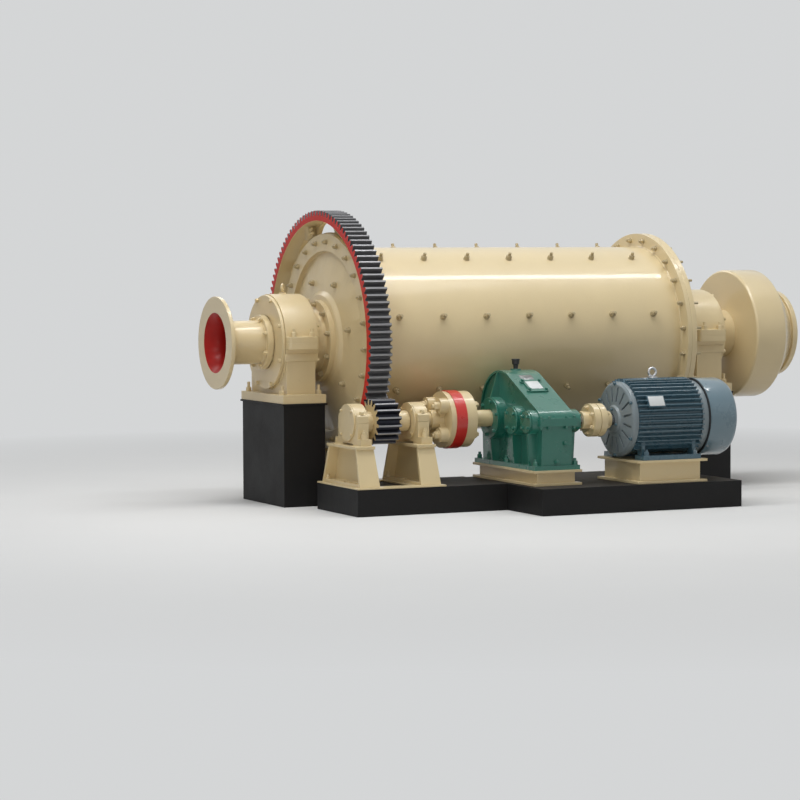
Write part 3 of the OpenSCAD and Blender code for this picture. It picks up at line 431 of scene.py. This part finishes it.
def bar_outline(bm, centre, radius, sides):
    """The round outline of a bar, in the XY plane."""
    ring = bmesh.ops.create_circle(bm, segments=sides, radius=radius, matrix=Matrix.Translation(centre))
    return ring["verts"], list(dict.fromkeys(e for v in ring["verts"] for e in v.link_edges))


def bead(name, body, material, axis, x, radius, size):
    """A weld bead or fillet that runs round an axis along X."""
    bm = bmesh.new()
    outline = bar_outline(bm, (x, axis[0] + radius, axis[1]), size, BEAD_SIDES)
    spin_round(bm, *outline, (x, *axis), PLUS_X)
    finish_piece(name, bm, body, material, smooth=60)


def hoop(name, body, material, axis, x0, x1, radius, wall):
    """A flat band round an axis along X."""
    bm = bmesh.new()
    corners = [(x0, radius), (x1, radius), (x1, radius - wall), (x0, radius - wall)]
    verts = [bm.verts.new((x, axis[0] + r, axis[1])) for x, r in corners]
    edges = [bm.edges.new((verts[i], verts[(i + 1) % 4])) for i in range(4)]
    spin_round(bm, verts, edges, (x0, *axis), PLUS_X)
    finish_piece(name, bm, body, material, smooth=40)


def plate(name, body, material, centre, size, edge, turn=None):
    """A flat plate with rounded edges; turn is a rotation about its centre."""
    bm = bmesh.new()
    bmesh.ops.create_cube(bm, size=1.0, matrix=Matrix.Diagonal((*size, 1)))
    bmesh.ops.bevel(bm, geom=bm.edges, offset=min(edge, min(size) * 0.45), segments=2, profile=0.5,
                    affect="EDGES", material=-1)
    bmesh.ops.transform(bm, matrix=Matrix.Translation(centre) @ (turn or Matrix.Identity(4)), verts=bm.verts)
    finish_piece(name, bm, body, material, smooth=40)


def lifting_eye(name, body, material, foot, heading):
    """A ring on a collar that stands on the point foot, its plane turned by heading degrees about Z."""
    ring, bar, collar, sunk = 0.022, 0.0085, 0.010, 0.001
    bm = bmesh.new()
    bmesh.ops.create_cone(bm, cap_ends=True, segments=32, radius1=ring * 1.15, radius2=ring, depth=collar,
                          matrix=Matrix.Translation((0, 0, collar / 2 - sunk)))
    middle = Vector((0, 0, collar + ring + bar * 0.8))
    outline = bar_outline(bm, middle + ring * PLUS_X, bar, sides=16)
    spin_round(bm, *outline, middle, (0, 1, 0), steps=48)
    turn = Matrix.Translation(foot) @ Matrix.Rotation(math.radians(heading), 4, "Z")
    bmesh.ops.transform(bm, matrix=turn, verts=bm.verts)
    finish_piece(name, bm, body, material, smooth=40)


def top_faces(bm, before):
    """The faces that are new since before and look up."""
    return [face for face in bm.faces if face not in before and face.normal.z > 0.9]


def bolt_shape(across, height, washer, stud):
    """A hexagon on its washer, standing on Z = 0, with the stud's end proud of it."""
    body = height * 0.86
    radius = across / 2 / math.cos(math.radians(30))
    stud_radius = across * 0.31
    seat = across * 0.11 if washer else 0.0
    bm = bmesh.new()
    if washer:
        bmesh.ops.create_cone(bm, cap_ends=True, segments=20, radius1=across * 0.66, radius2=across * 0.64,
                              depth=seat, matrix=Matrix.Translation((0, 0, seat / 2)))
    before = set(bm.faces)
    bmesh.ops.create_cone(bm, cap_ends=True, segments=6, radius1=radius, radius2=radius, depth=body,
                          matrix=Matrix.Translation((0, 0, seat + body / 2)))
    bmesh.ops.inset_region(bm, faces=top_faces(bm, before), thickness=radius * 0.13, depth=height - body)
    if stud:
        before = set(bm.faces)
        middle = seat + height + stud / 2 - 0.001
        bmesh.ops.create_cone(bm, cap_ends=True, segments=14, radius1=stud_radius, radius2=stud_radius,
                              depth=stud, matrix=Matrix.Translation((0, 0, middle)))
        bmesh.ops.inset_region(bm, faces=top_faces(bm, before), thickness=across * 0.05, depth=across * 0.04)
    mesh = bpy.data.meshes.new("bolt_shape")
    bm.to_mesh(mesh)
    bm.free()
    return mesh


def bolts(name, body, paint, spots, across, height, stud=0.0, washer=True):
    """Bolts or nuts at (point, direction) spots, each with a turn of its own, joined in one piece."""
    shape = bolt_shape(across, height, washer, stud)
    bm = bmesh.new()
    for point, direction in spots:
        count = len(bm.verts)
        bm.from_mesh(shape)
        bm.verts.ensure_lookup_table()
        turn = Matrix.Rotation(chance.uniform(0, math.pi / 3), 4, "Z")
        place = Matrix.Translation(point) @ direction.to_track_quat("Z", "Y").to_matrix().to_4x4() @ turn
        bmesh.ops.transform(bm, matrix=place, verts=bm.verts[count:])
    bpy.data.meshes.remove(shape)
    finish_piece(name, bm, body, paint)


def circle_of(axis, x, direction, radius, count, first=0.0):
    """Spots evenly spaced on a circle round an axis along X, from the angle first on."""
    return [(around(axis, x, radius, first + 360 * i / count), direction) for i in range(count)]


# The CAD nodes' own looks

CAD_MERGE_DISTANCE = 0.00002
FLAT_ANGLE = 0.4
SMOOTH_ANGLE = 32
PLAIN_EDGE = 0.002
EAR_ROUND = 0.024
EAR_HEIGHT = 0.045
EAR_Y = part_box("feed_bearing_cap")[1].y
SAME_PLACE = 0.001
SHORTEST_EAR_EDGE = 0.02


def is_ear_corner(edge):
    """True for the upright edges at the outer corners of a bearing housing's ears."""
    a, b = (v.co for v in edge.verts)
    upright = abs(a.x - b.x) < SAME_PLACE and abs(a.y - b.y) < SAME_PLACE
    tall = abs(a.z - b.z) > SHORTEST_EAR_EDGE
    return upright and tall and abs(a.y) > EAR_Y - 2 * SAME_PLACE and min(a.z, b.z) > MILL[1] - EAR_HEIGHT


def dressed(node, material, width, corners=None):
    """A merged copy of a CAD node with smooth round faces and rounded edges, which stands for the node.
    Edges that the corners test picks get a wide round of their own."""
    source = nodes[node]
    bm = bmesh.new()
    bm.from_mesh(source.data)
    bmesh.ops.remove_doubles(bm, verts=bm.verts, dist=CAD_MERGE_DISTANCE)
    bmesh.ops.dissolve_limit(bm, angle_limit=math.radians(FLAT_ANGLE), verts=bm.verts, edges=bm.edges)
    if corners:
        bmesh.ops.bevel(bm, geom=[e for e in bm.edges if corners(e)], offset=EAR_ROUND, segments=6,
                        profile=0.5, affect="EDGES", material=-1)
    piece = finish_piece(node + "_painted", bm, source["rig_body"], material,
                         smooth=SMOOTH_ANGLE)
    if width:
        bevel = piece.modifiers.new("rounded_edges", "BEVEL")
        bevel.width = width
        bevel.segments = 2
        bevel.limit_method = "ANGLE"
        bevel.angle_limit = math.radians(SMOOTH_ANGLE)
        bevel.harden_normals = True
        bevel.use_clamp_overlap = True
    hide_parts(node)


painted = {
    cream: ("mill_shell", "shell_end_flanges", "discharge_hood", "slow_coupling", "fast_coupling",
            "pinion_shaft"),
    cream_cast: ("feed_head", "discharge_head", "feed_trunnion", "discharge_trunnion", "main_bearing_covers",
                 "pinion_bearing_blocks", "pinion_bearing_caps", "pinion_bearing_covers"),
    cream_plate: ("drive_base_frame", "outer_pinion_stand", "inner_pinion_stand", "gearbox_seat",
                  "motor_seat", "manhole_cover"),
    trumpet: ("feed_trumpet",),
    black: ("feed_plinth", "discharge_plinth", "pinion_plinth", "gearbox_plinth"),
    green: ("gearbox_lower_case", "gearbox_upper_case", "gearbox_bearing_caps", "gearbox_hatch"),
    plastic: ("gearbox_breather",),
    slate: ("motor_terminal_box", "motor_body"),
    shield_grey: ("motor_end_shields",),
    slate_painted_lit: ("motor_fan_cover",),
    zinc: ("motor_eyebolt",),
    steel: ("main_bearing_rings", "motor_shaft"),
    red: ("slow_coupling_band",),
    gear_paint: ("girth_gear_upper_half", "girth_gear_lower_half"),
    pinion_paint: ("pinion",),
}
edge_widths = {
    "mill_shell": 0.001, "shell_end_flanges": 0.003, "feed_head": 0.004, "discharge_head": 0.004,
    "feed_trumpet": 0.004, "discharge_hood": 0.006,
    "main_bearing_covers": 0.006, "main_bearing_rings": 0.001,
    "girth_gear_upper_half": 0.0, "girth_gear_lower_half": 0.0, "pinion": 0.0,
    "pinion_bearing_blocks": 0.004, "pinion_bearing_caps": 0.004,
    "slow_coupling": 0.004, "slow_coupling_band": 0.0,
    "gearbox_lower_case": 0.005, "gearbox_upper_case": 0.005, "gearbox_bearing_caps": 0.003,
    "gearbox_hatch": 0.003, "gearbox_breather": 0.001,
    "motor_body": 0.0, "motor_fan_cover": 0.003, "motor_eyebolt": 0.0,
}
for material, names in painted.items():
    for node in names:
        dressed(node, material, edge_widths.get(node, PLAIN_EDGE))
for part in ("bearing_cap", "bearing_pedestal"):
    for end in ("feed", "discharge"):
        dressed(f"{end}_{part}", cream_cast, PLAIN_EDGE, corners=is_ear_corner)

# Drum: liner bolts in eight rows

SHELL = ends_of("mill_shell")
SHELL_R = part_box("mill_shell")[1].z - MILL[1]
LINER_ROWS = 8
LINER_COLUMNS = 7
LINER_PITCH = 0.31353
FIRST_ROW = 164.7
FIRST_COLUMN = SHELL[0] + 0.164

liner_spots = []
for row in range(LINER_ROWS):
    for column in range(LINER_COLUMNS):
        x = FIRST_COLUMN + LINER_PITCH * column
        point = around(MILL, x, SHELL_R - 0.001, FIRST_ROW - 360 / LINER_ROWS * row)
        liner_spots.append((point, outward(MILL, point)))
bolts("liner_bolts", DRUM, cream_nut_painted_shade, liner_spots, across=0.033, height=0.024, stud=0.022)

# Drum: bolts of the end flanges, heads and trunnions

FLANGES = ends_of("shell_end_flanges")
HEAD_FLANGE = 0.040
HEAD_RECESS = 0.037
TRUNNION_FLANGE = 0.035
GEAR_RING = 0.030
FEED_TURN = 3.5
DISCHARGE_TURN = 9.4
FEED_FACE = FLANGES[0] - HEAD_FLANGE - GEAR_RING
DISCHARGE_FACE = FLANGES[1] + HEAD_FLANGE
HEAD_ENDS = (("feed", ends_of("feed_head")[0], MINUS_X), ("discharge", ends_of("discharge_head")[1], PLUS_X))

for name, x, radius, direction, turn, stud in (
        ("discharge_flange_nuts", SHELL[1], 0.658, MINUS_X, DISCHARGE_TURN, 0.012),
        ("discharge_flange_heads", DISCHARGE_FACE, 0.657, PLUS_X, DISCHARGE_TURN, 0.034),
        ("feed_flange_heads", FEED_FACE, 0.650, MINUS_X, FEED_TURN, 0.010),
        ("feed_flange_nuts", SHELL[0], 0.658, PLUS_X, FEED_TURN, 0.012)):
    spots = circle_of(MILL, x, direction, radius, count=24, first=turn)
    bolts(name, DRUM, cream_nut_painted_shade, spots, across=0.028, height=0.020, stud=stud)
for name, x, direction in HEAD_ENDS:
    spots = circle_of(MILL, x - HEAD_RECESS * direction.x, direction, radius=0.415, count=7, first=66.0)
    bolts(name + "_head_liner_bolts", DRUM, cream_nut_painted_shade, spots, across=0.032, height=0.022,
          stud=0.012)
for name, x, direction in HEAD_ENDS:
    spots = circle_of(MILL, x + TRUNNION_FLANGE * direction.x, direction, radius=0.243, count=10, first=95.0)
    bolts(name + "_trunnion_bolts", DRUM, cream_nut_painted_shade, spots, across=0.030, height=0.020,
          stud=0.008)

# Drum: trumpet bolts and weld beads

TRUMPET_FLANGE = 0.040
HOOD_LIP = 0.040
TRUMPET_FACE = ends_of("feed_trunnion")[0] - TRUMPET_FLANGE
HOOD_FACE = ends_of("discharge_hood")[1] - HOOD_LIP

bolts("trumpet_flange_bolts", DRUM, cream,
      circle_of(MILL, TRUMPET_FACE, MINUS_X, radius=0.161, count=8, first=22.5),
      across=0.022, height=0.015, stud=0.008)
for name, x, radius, size in (
        ("feed_shell_weld", SHELL[0], SHELL_R + 0.001, 0.007),
        ("discharge_shell_weld", SHELL[1], SHELL_R + 0.001, 0.007),
        ("hood_lip_weld", HOOD_FACE, 0.273, 0.006),
        ("trumpet_tube_weld", TRUMPET_FACE, 0.143, 0.006)):
    bead(name, DRUM, cream, MILL, x, radius, size)

# Drum: bolts through the lugs that join the two halves of the girth gear

LUG_X = ends_of("girth_gear_upper_half")[0] + 0.062
LUG_HALF = 0.034

joint_spots = []
for angle in (70.26, 250.26):
    a = math.radians(angle)
    along = Vector((0, -math.sin(a), math.cos(a)))
    for radius in (0.733, 0.763):
        for side in (-1, 1):
            point = around(MILL, LUG_X, radius, angle) + along * LUG_HALF * side
            joint_spots.append((point, along * side))
bolts("gear_joint_bolts", DRUM, cream, joint_spots, across=0.026, height=0.018, stud=0.008)

# Drum: bolts round the manhole cover

LID_X = sum(ends_of("manhole_cover")) / 2
LID_R = SHELL_R + 0.0215
LID_HALF = 0.205
LID_ANGLE = 15.3

lid_grid = [(dx, angle) for dx in (-LID_HALF, -0.07, 0.07, LID_HALF) for angle in (-LID_ANGLE, LID_ANGLE)]
lid_grid += [(-LID_HALF, 0.0), (LID_HALF, 0.0)]
lid_spots = []
for dx, angle in lid_grid:
    point = around(MILL, LID_X + dx, LID_R, angle)
    lid_spots.append((point, outward(MILL, point)))
bolts("manhole_bolts", DRUM, cream_nut_painted_shade, lid_spots, across=0.030, height=0.020, stud=0.010)

# Main bearings: lifting eyes, cover bolts, cap bolts, ledges under the ears and anchor nuts

CAP_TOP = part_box("feed_bearing_cap")[1].z
EAR_TOP = MILL[1] + 0.040
FOOT_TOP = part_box("feed_plinth")[1].z + 0.056
OUTER_COVER = 0.130
INNER_COVER = 0.123
CAP_BOLT_X = 0.062
CAP_BOLT_Y = 0.336
ANCHOR_X = 0.127
ANCHOR_Y = 0.285
LEDGE_SIZE = (0.230, 0.0415, 0.051)
LEDGE_Y = 0.28825
LEDGE_Z = MILL[1] - 0.0925

for name, outer, heading in (("feed", -1, 54), ("discharge", 1, 20)):
    middle = sum(ends_of(name + "_bearing_cap")) / 2
    lifting_eye(name + "_cap_eye", STILL, cream_cast, (middle, 0, CAP_TOP), heading)
    for x, way, side in ((middle + outer * OUTER_COVER, outer, "outer"),
                         (middle - outer * INNER_COVER, -outer, "inner")):
        bolts(f"{name}_{side}_cover_bolts", STILL, cream_cast,
              circle_of(MILL, x, PLUS_X * way, radius=0.291, count=8, first=22.5),
              across=0.022, height=0.014)
    ears = [(Vector((middle + dx, y, EAR_TOP)), UP)
            for y in (-CAP_BOLT_Y, CAP_BOLT_Y) for dx in (-CAP_BOLT_X, CAP_BOLT_X)]
    feet = [(Vector((middle + dx, y, FOOT_TOP)), UP)
            for y in (-ANCHOR_Y, ANCHOR_Y) for dx in (-ANCHOR_X, ANCHOR_X)]
    bolts(name + "_cap_bolts", STILL, cream_cast, ears, across=0.036, height=0.027,
          stud=0.022)
    for side, way in (("near", -1), ("far", 1)):
        plate(f"{name}_housing_ledge_{side}", STILL, cream_cast,
              (middle, way * LEDGE_Y, LEDGE_Z), LEDGE_SIZE, edge=0.004)
    bolts(name + "_anchor_nuts", STILL, cream_cast, feet, across=0.032, height=0.024,
          stud=0.034)

# Pinion stands and bearings

DY, DZ = DRIVE
BLOCK_HALF = 0.038
COVER = 0.011
BLOCK_ENDS = ends_of("pinion_bearing_blocks")
STAND_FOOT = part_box("outer_pinion_stand")[0].z + 0.018

cover_bolts, cap_bolts, block_nuts, stand_nuts = [], [], [], []
for x in (BLOCK_ENDS[0] + BLOCK_HALF, BLOCK_ENDS[1] - BLOCK_HALF):
    for way in (-1, 1):
        cover_bolts += circle_of(DRIVE, x + way * (BLOCK_HALF + COVER), PLUS_X * way, radius=0.104, count=4,
                                 first=45)
    for side in (-1, 1):
        cap_bolts.append((Vector((x, DY + side * 0.124, DZ + 0.054)), UP))
        block_nuts.append((Vector((x, DY + side * 0.168, DZ - 0.070)), UP))
        stand_nuts.append((Vector((x - 0.063, DY + side * 0.253, STAND_FOOT)), UP))
bolts("pinion_cover_bolts", STILL, cream_cast, cover_bolts, across=0.015, height=0.009,
      washer=False)
bolts("pinion_cap_bolts", STILL, cream_cast, cap_bolts, across=0.028, height=0.017)
bolts("pinion_block_nuts", STILL, cream_cast, block_nuts, across=0.028, height=0.018,
      stud=0.008)
bolts("stand_foot_nuts", STILL, cream_plate, stand_nuts, across=0.026, height=0.018,
      stud=0.012)

# Couplings

SLOW_ENDS = ends_of("slow_coupling")
FAST_MIDDLE = sum(ends_of("fast_coupling")) / 2
FAST_HALF = 0.046

for name, x, direction in (("coupling_front_nuts", SLOW_ENDS[0] + 0.023, MINUS_X),
                           ("coupling_back_nuts", SLOW_ENDS[1], PLUS_X)):
    bolts(name, LINE, cream, circle_of(DRIVE, x, direction, radius=0.131, count=4, first=45),
          across=0.046, height=0.028, stud=0.012)
for name, x, direction in (("fast_coupling_nuts", FAST_MIDDLE - FAST_HALF, MINUS_X),
                           ("fast_coupling_heads", FAST_MIDDLE + FAST_HALF, PLUS_X)):
    bolts(name, MOTOR_LINE, cream,
          circle_of(FAST, x, direction, radius=0.081, count=6, first=30),
          across=0.022, height=0.014, stud=0.008)

# Gearbox: bolts of the bearing caps, the joint of the case and the feet

BOSS = 0.062
CAP = 0.012
CASE = [x + way * BOSS for x, way in zip(ends_of("gearbox_lower_case"), (1, -1))]
CASE_MID = sum(CASE) / 2
SPREAD = 0.500
MIDDLE_SHAFT = 0.300
RIM_HALF = 0.024
CASE_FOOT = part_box("gearbox_lower_case")[0].z + 0.028

# Each shaft's ring of cap bolts: distance from the slow shaft, radius, count and first angle
SHAFT_RINGS = ((0, 0.110, 6, 105), (MIDDLE_SHAFT, 0.066, 4, 45), (SPREAD, 0.050, 4, 45))

box_bolts = []
for x, way in ((CASE[0] - BOSS - CAP, -1), (CASE[1] + BOSS + CAP, 1)):
    for away, radius, count, first in SHAFT_RINGS:
        box_bolts += circle_of((DY - away, DZ), x, PLUS_X * way, radius, count, first)
bolts("gearbox_cover_bolts", STILL, green, box_bolts, across=0.019, height=0.012)
rim_spots = [(x, y) for x in (CASE[0] - 0.012, CASE[1] + 0.012) for y in (0.180, -0.172, -0.409, -0.592)]
rim_spots += [(x, y) for x in (CASE[0] + 0.045, CASE[1] - 0.045) for y in (0.246, -0.598)]
bolts("gearbox_rim_bolts", STILL, green,
      [(Vector((x, DY + y, DZ + RIM_HALF)), UP) for x, y in rim_spots], across=0.018, height=0.012)
bolts("gearbox_rim_nuts", STILL, green,
      [(Vector((x, DY + y, DZ - RIM_HALF)), DOWN) for x, y in rim_spots], across=0.018, height=0.014,
      stud=0.006)
foot_spots = [(x, y) for x in (CASE[0] - 0.034, CASE[1] + 0.034) for y in (-0.560, -0.170, 0.205)]
bolts("gearbox_foot_nuts", STILL, green,
      [(Vector((x, DY + y, CASE_FOOT)), UP) for x, y in foot_spots], across=0.030, height=0.022, stud=0.016)

# Gearbox: the sloping roof touches a small round over the fast shaft and a large one over the slow shaft

SMALL_ROUND = 0.085
LARGE_ROUND = 0.266
LARGE_Y = 0.030
LARGE_Z = 0.040
RUN = SPREAD - LARGE_Y
TILT = math.atan2(LARGE_Z, RUN) + math.asin((LARGE_ROUND - SMALL_ROUND) / math.hypot(RUN, LARGE_Z))
ROOF_OUT = Vector((0, -math.sin(TILT), math.cos(TILT)))
ROOF_LOW = Vector((0, -SPREAD, 0)) + SMALL_ROUND * ROOF_OUT
ROOF_HIGH = Vector((0, -LARGE_Y, LARGE_Z)) + LARGE_ROUND * ROOF_OUT
ROOF_TURN = Matrix.Rotation(TILT, 4, "X")
HATCH = 0.67
PLATE_SPOT = 0.93


def on_roof(share, x=0.0, along=0.0, up=0.0):
    """A point at a share of the way up the roof, moved along X, up the slope and off the roof."""
    foot = Vector((CASE_MID, DY, DZ)) + ROOF_LOW.lerp(ROOF_HIGH, share)
    return foot + ROOF_TURN.to_3x3() @ Vector((x, along, up))


hatch_spots = [on_roof(HATCH, x, y, 0.010) for x in (-0.060, 0.060) for y in (-0.056, 0.056)]
bolts("hatch_bolts", STILL, green, [(point, ROOF_OUT) for point in hatch_spots], across=0.018,
      height=0.011)
plate("hatch_bare_plate", STILL, bare_label, on_roof(HATCH, 0, 0.002, 0.0112),
      (0.092, 0.092, 0.0024), edge=0.0008, turn=ROOF_TURN)
plate("roof_bare_plate", STILL, bare_metal_label, on_roof(PLATE_SPOT, 0, 0, 0.0008),
      (0.090, 0.062, 0.0020), edge=0.0006, turn=ROOF_TURN)
PLUG_WAY = Vector((0, -1, 0.04)).normalized()
bolts("oil_plugs", STILL, green,
      [(Vector((CASE_MID, DY - 0.574, 0.315)), PLUG_WAY),
       (Vector((CASE_MID + 0.06, DY - 0.578, 0.430)), PLUG_WAY)],
      across=0.026, height=0.014, stud=0.006)

# Motor: bolts, screws and cable glands

FY, FZ = FAST
SHIELD_FACE = ends_of("motor_end_shields")[0]
BODY_ENDS = ends_of("motor_body")
BOX_X = sum(ends_of("motor_terminal_box")) / 2
FAN_COVER = ends_of("motor_fan_cover")[0]

bolts("motor_shield_bolts", STILL, slate,
      circle_of(FAST, SHIELD_FACE + 0.0265, MINUS_X, radius=0.2265, count=6, first=30),
      across=0.018, height=0.012)
bolts("motor_bearing_cap_bolts", STILL, slate,
      circle_of(FAST, SHIELD_FACE, MINUS_X, radius=0.062, count=3, first=90), across=0.014, height=0.009)
foot_spots = [(x, side * 0.228) for x in (BODY_ENDS[0] + 0.060, BODY_ENDS[1] - 0.060) for side in (-1, 1)]
bolts("motor_foot_nuts", STILL, slate,
      [(Vector((x, FY + y, FZ - 0.220)), UP) for x, y in foot_spots], across=0.030, height=0.020, stud=0.014)
screw_points = [around(FAST, FAN_COVER + 0.016, 0.250, angle) for angle in (45, 135, 225, 315)]
bolts("fan_cover_screws", STILL, zinc,
      [(point, outward(FAST, point)) for point in screw_points], across=0.013, height=0.006)
lid_spots = [(Vector((BOX_X + dx, FY + 0.381, FZ + 0.035 + dz)), Vector((0, 1, 0)))
             for dx in (-0.074, 0.074) for dz in (-0.066, 0.066)]
bolts("terminal_lid_screws", STILL, zinc, lid_spots, across=0.012, height=0.006, washer=False)
bolts("cable_gland", STILL, plastic,
      [(Vector((BOX_X + dx, FY + 0.325, FZ - 0.040)), DOWN) for dx in (-0.04, 0.04)],
      across=0.040, height=0.022, stud=0.020)

# Motor: painted shade in the gap at the fan cover, the cover's edge band, and the bare plate on its pad

LABEL_X = BODY_ENDS[0] + 0.130
LABEL_ANGLE = 152
LABEL_TURN = Matrix.Rotation(math.radians(LABEL_ANGLE - 90), 4, "X")

# Painted shade: a near-black hoop stands for the shadow in the gap under the fan cover's edge.
hoop("fan_cover_painted_gap_shade", STILL, shadow_gap, FAST, FAN_COVER - 0.006, FAN_COVER + 0.001,
     radius=0.2515, wall=0.016)
hoop("fan_cover_edge", STILL, slate_painted_lit, FAST, FAN_COVER + 0.001, FAN_COVER + 0.010,
     radius=0.2535, wall=0.006)
plate("motor_bare_plate", STILL, bare_label, around(FAST, LABEL_X, 0.2605, LABEL_ANGLE),
      (0.110, 0.066, 0.003), edge=0.0008, turn=LABEL_TURN)
plate("motor_plate_pad", STILL, slate, around(FAST, LABEL_X, 0.2495, LABEL_ANGLE),
      (0.122, 0.078, 0.020), edge=0.002, turn=LABEL_TURN)

# Floor, backdrop, lamps and camera

FLOOR_CENTRE = (1.6, -0.4)
FLOOR_RADIUS = 90.0
FLOOR_EDGE = (3.0, 7.5)
BACKDROP = (0.66, 0.67, 0.675)


def pale_floor():
    """Pale floor that keeps its shadows near the mill and turns into an even pale backdrop all round it."""
    f = Finish("pale_floor", (0.72, 0.72, 0.71), 0.8)
    seen = f.seen()
    pale = f.blend(f.cloud(f.noise(0.35, 5.0)), (0.70, 0.70, 0.69), (0.74, 0.74, 0.73))
    f.drive("Base Color", f.blend(seen, (0.62, 0.60, 0.57), pale))
    glow = f.add("ShaderNodeEmission")
    glow.inputs["Color"].default_value = (*BACKDROP, 1)
    x, y = f.split("Object")[:2]
    reach = f.length(f.maths("SUBTRACT", x, FLOOR_CENTRE[0]), f.maths("SUBTRACT", y, FLOOR_CENTRE[1]))
    far = f.maths("MULTIPLY", f.span(reach, *FLOOR_EDGE), seen)
    f.link(f.mix_shaders(far, f.skin.outputs[0], glow.outputs[0]), f.out.inputs["Surface"])
    return f.material


bm = bmesh.new()
bmesh.ops.create_circle(bm, cap_ends=True, segments=ROUND_STEPS, radius=FLOOR_RADIUS,
                        matrix=Matrix.Translation((*FLOOR_CENTRE, 0)))
floor = mesh_object("floor", bm, pale_floor())
floor.data.shade_smooth()


def lamp(name, place, target, size, watts, colour=(1.0, 1.0, 1.0)):
    """A rectangular lamp that looks at its target."""
    data = bpy.data.lights.new(name, "AREA")
    data.shape = "RECTANGLE"
    data.size, data.size_y = size
    data.energy = watts
    data.color = colour
    light = bpy.data.objects.new(name, data)
    light.location = place
    light.rotation_euler = (Vector(target) - Vector(place)).to_track_quat("-Z", "Y").to_euler()
    bpy.context.scene.collection.objects.link(light)


lamp("roof_strip", (1.4, -1.0, 7.2), target=(1.4, -1.0, 0.0), size=(11.0, 0.62), watts=290)
lamp("roof_soft", (0.0, -2.5, 8.4), target=(1.0, -0.5, 0.8), size=(10.0, 5.0), watts=325,
     colour=(0.97, 0.985, 1.0))
lamp("front_key", (-7.5, -9.0, 8.0), target=(1.2, -0.4, 0.8), size=(6.0, 4.0), watts=195,
     colour=(1.0, 0.985, 0.96))
lamp("front_low", (-3.0, -11.0, 1.2), target=(0.6, 0.0, 0.8), size=(7.0, 2.2), watts=95,
     colour=(1.0, 0.955, 0.87))
lamp("side_fill", (9.5, -7.0, 4.5), target=(2.0, -0.4, 0.8), size=(4.0, 4.0), watts=8,
     colour=(0.96, 0.98, 1.0))
lamp("back_fill", (0.0, 6.5, 6.5), target=(1.4, 0.0, 0.9), size=(7.0, 3.0), watts=130)

# Soft sky light, with the even backdrop where the sky itself is seen
world = bpy.data.worlds.new("soft_studio")
bpy.context.scene.world = world
world.use_nodes = True
sky = Graph(world.node_tree)
daylight = sky.tree.nodes["Background"]
daylight.inputs["Color"].default_value = (0.95, 0.97, 1.0, 1)
daylight.inputs["Strength"].default_value = 0.15
backdrop = sky.add("ShaderNodeBackground")
backdrop.inputs["Color"].default_value = (*BACKDROP, 1)
sky.link(sky.mix_shaders(sky.seen(), daylight.outputs[0], backdrop.outputs[0]),
         sky.tree.nodes["World Output"].inputs["Surface"])

CAMERA_PLACE = (-6.702, -15.99, 1.61)
CAMERA_DOWN = 3.117
CAMERA_HEADING = -25.26
CAMERA_ROLL = -0.22

camera_data = bpy.data.cameras.new("photo_camera")
camera_data.sensor_width = 36.0
camera_data.lens = 119.6
camera_data.clip_end = 200.0
camera = bpy.data.objects.new("photo_camera", camera_data)
camera.location = CAMERA_PLACE
aim = Euler((math.radians(90 - CAMERA_DOWN), 0.0, math.radians(CAMERA_HEADING))).to_matrix()
camera.rotation_euler = (aim @ Matrix.Rotation(math.radians(CAMERA_ROLL), 3, "Z")).to_euler()
bpy.context.scene.collection.objects.link(camera)
bpy.context.scene.camera = camera
bpy.context.scene.view_settings.view_transform = "Standard"
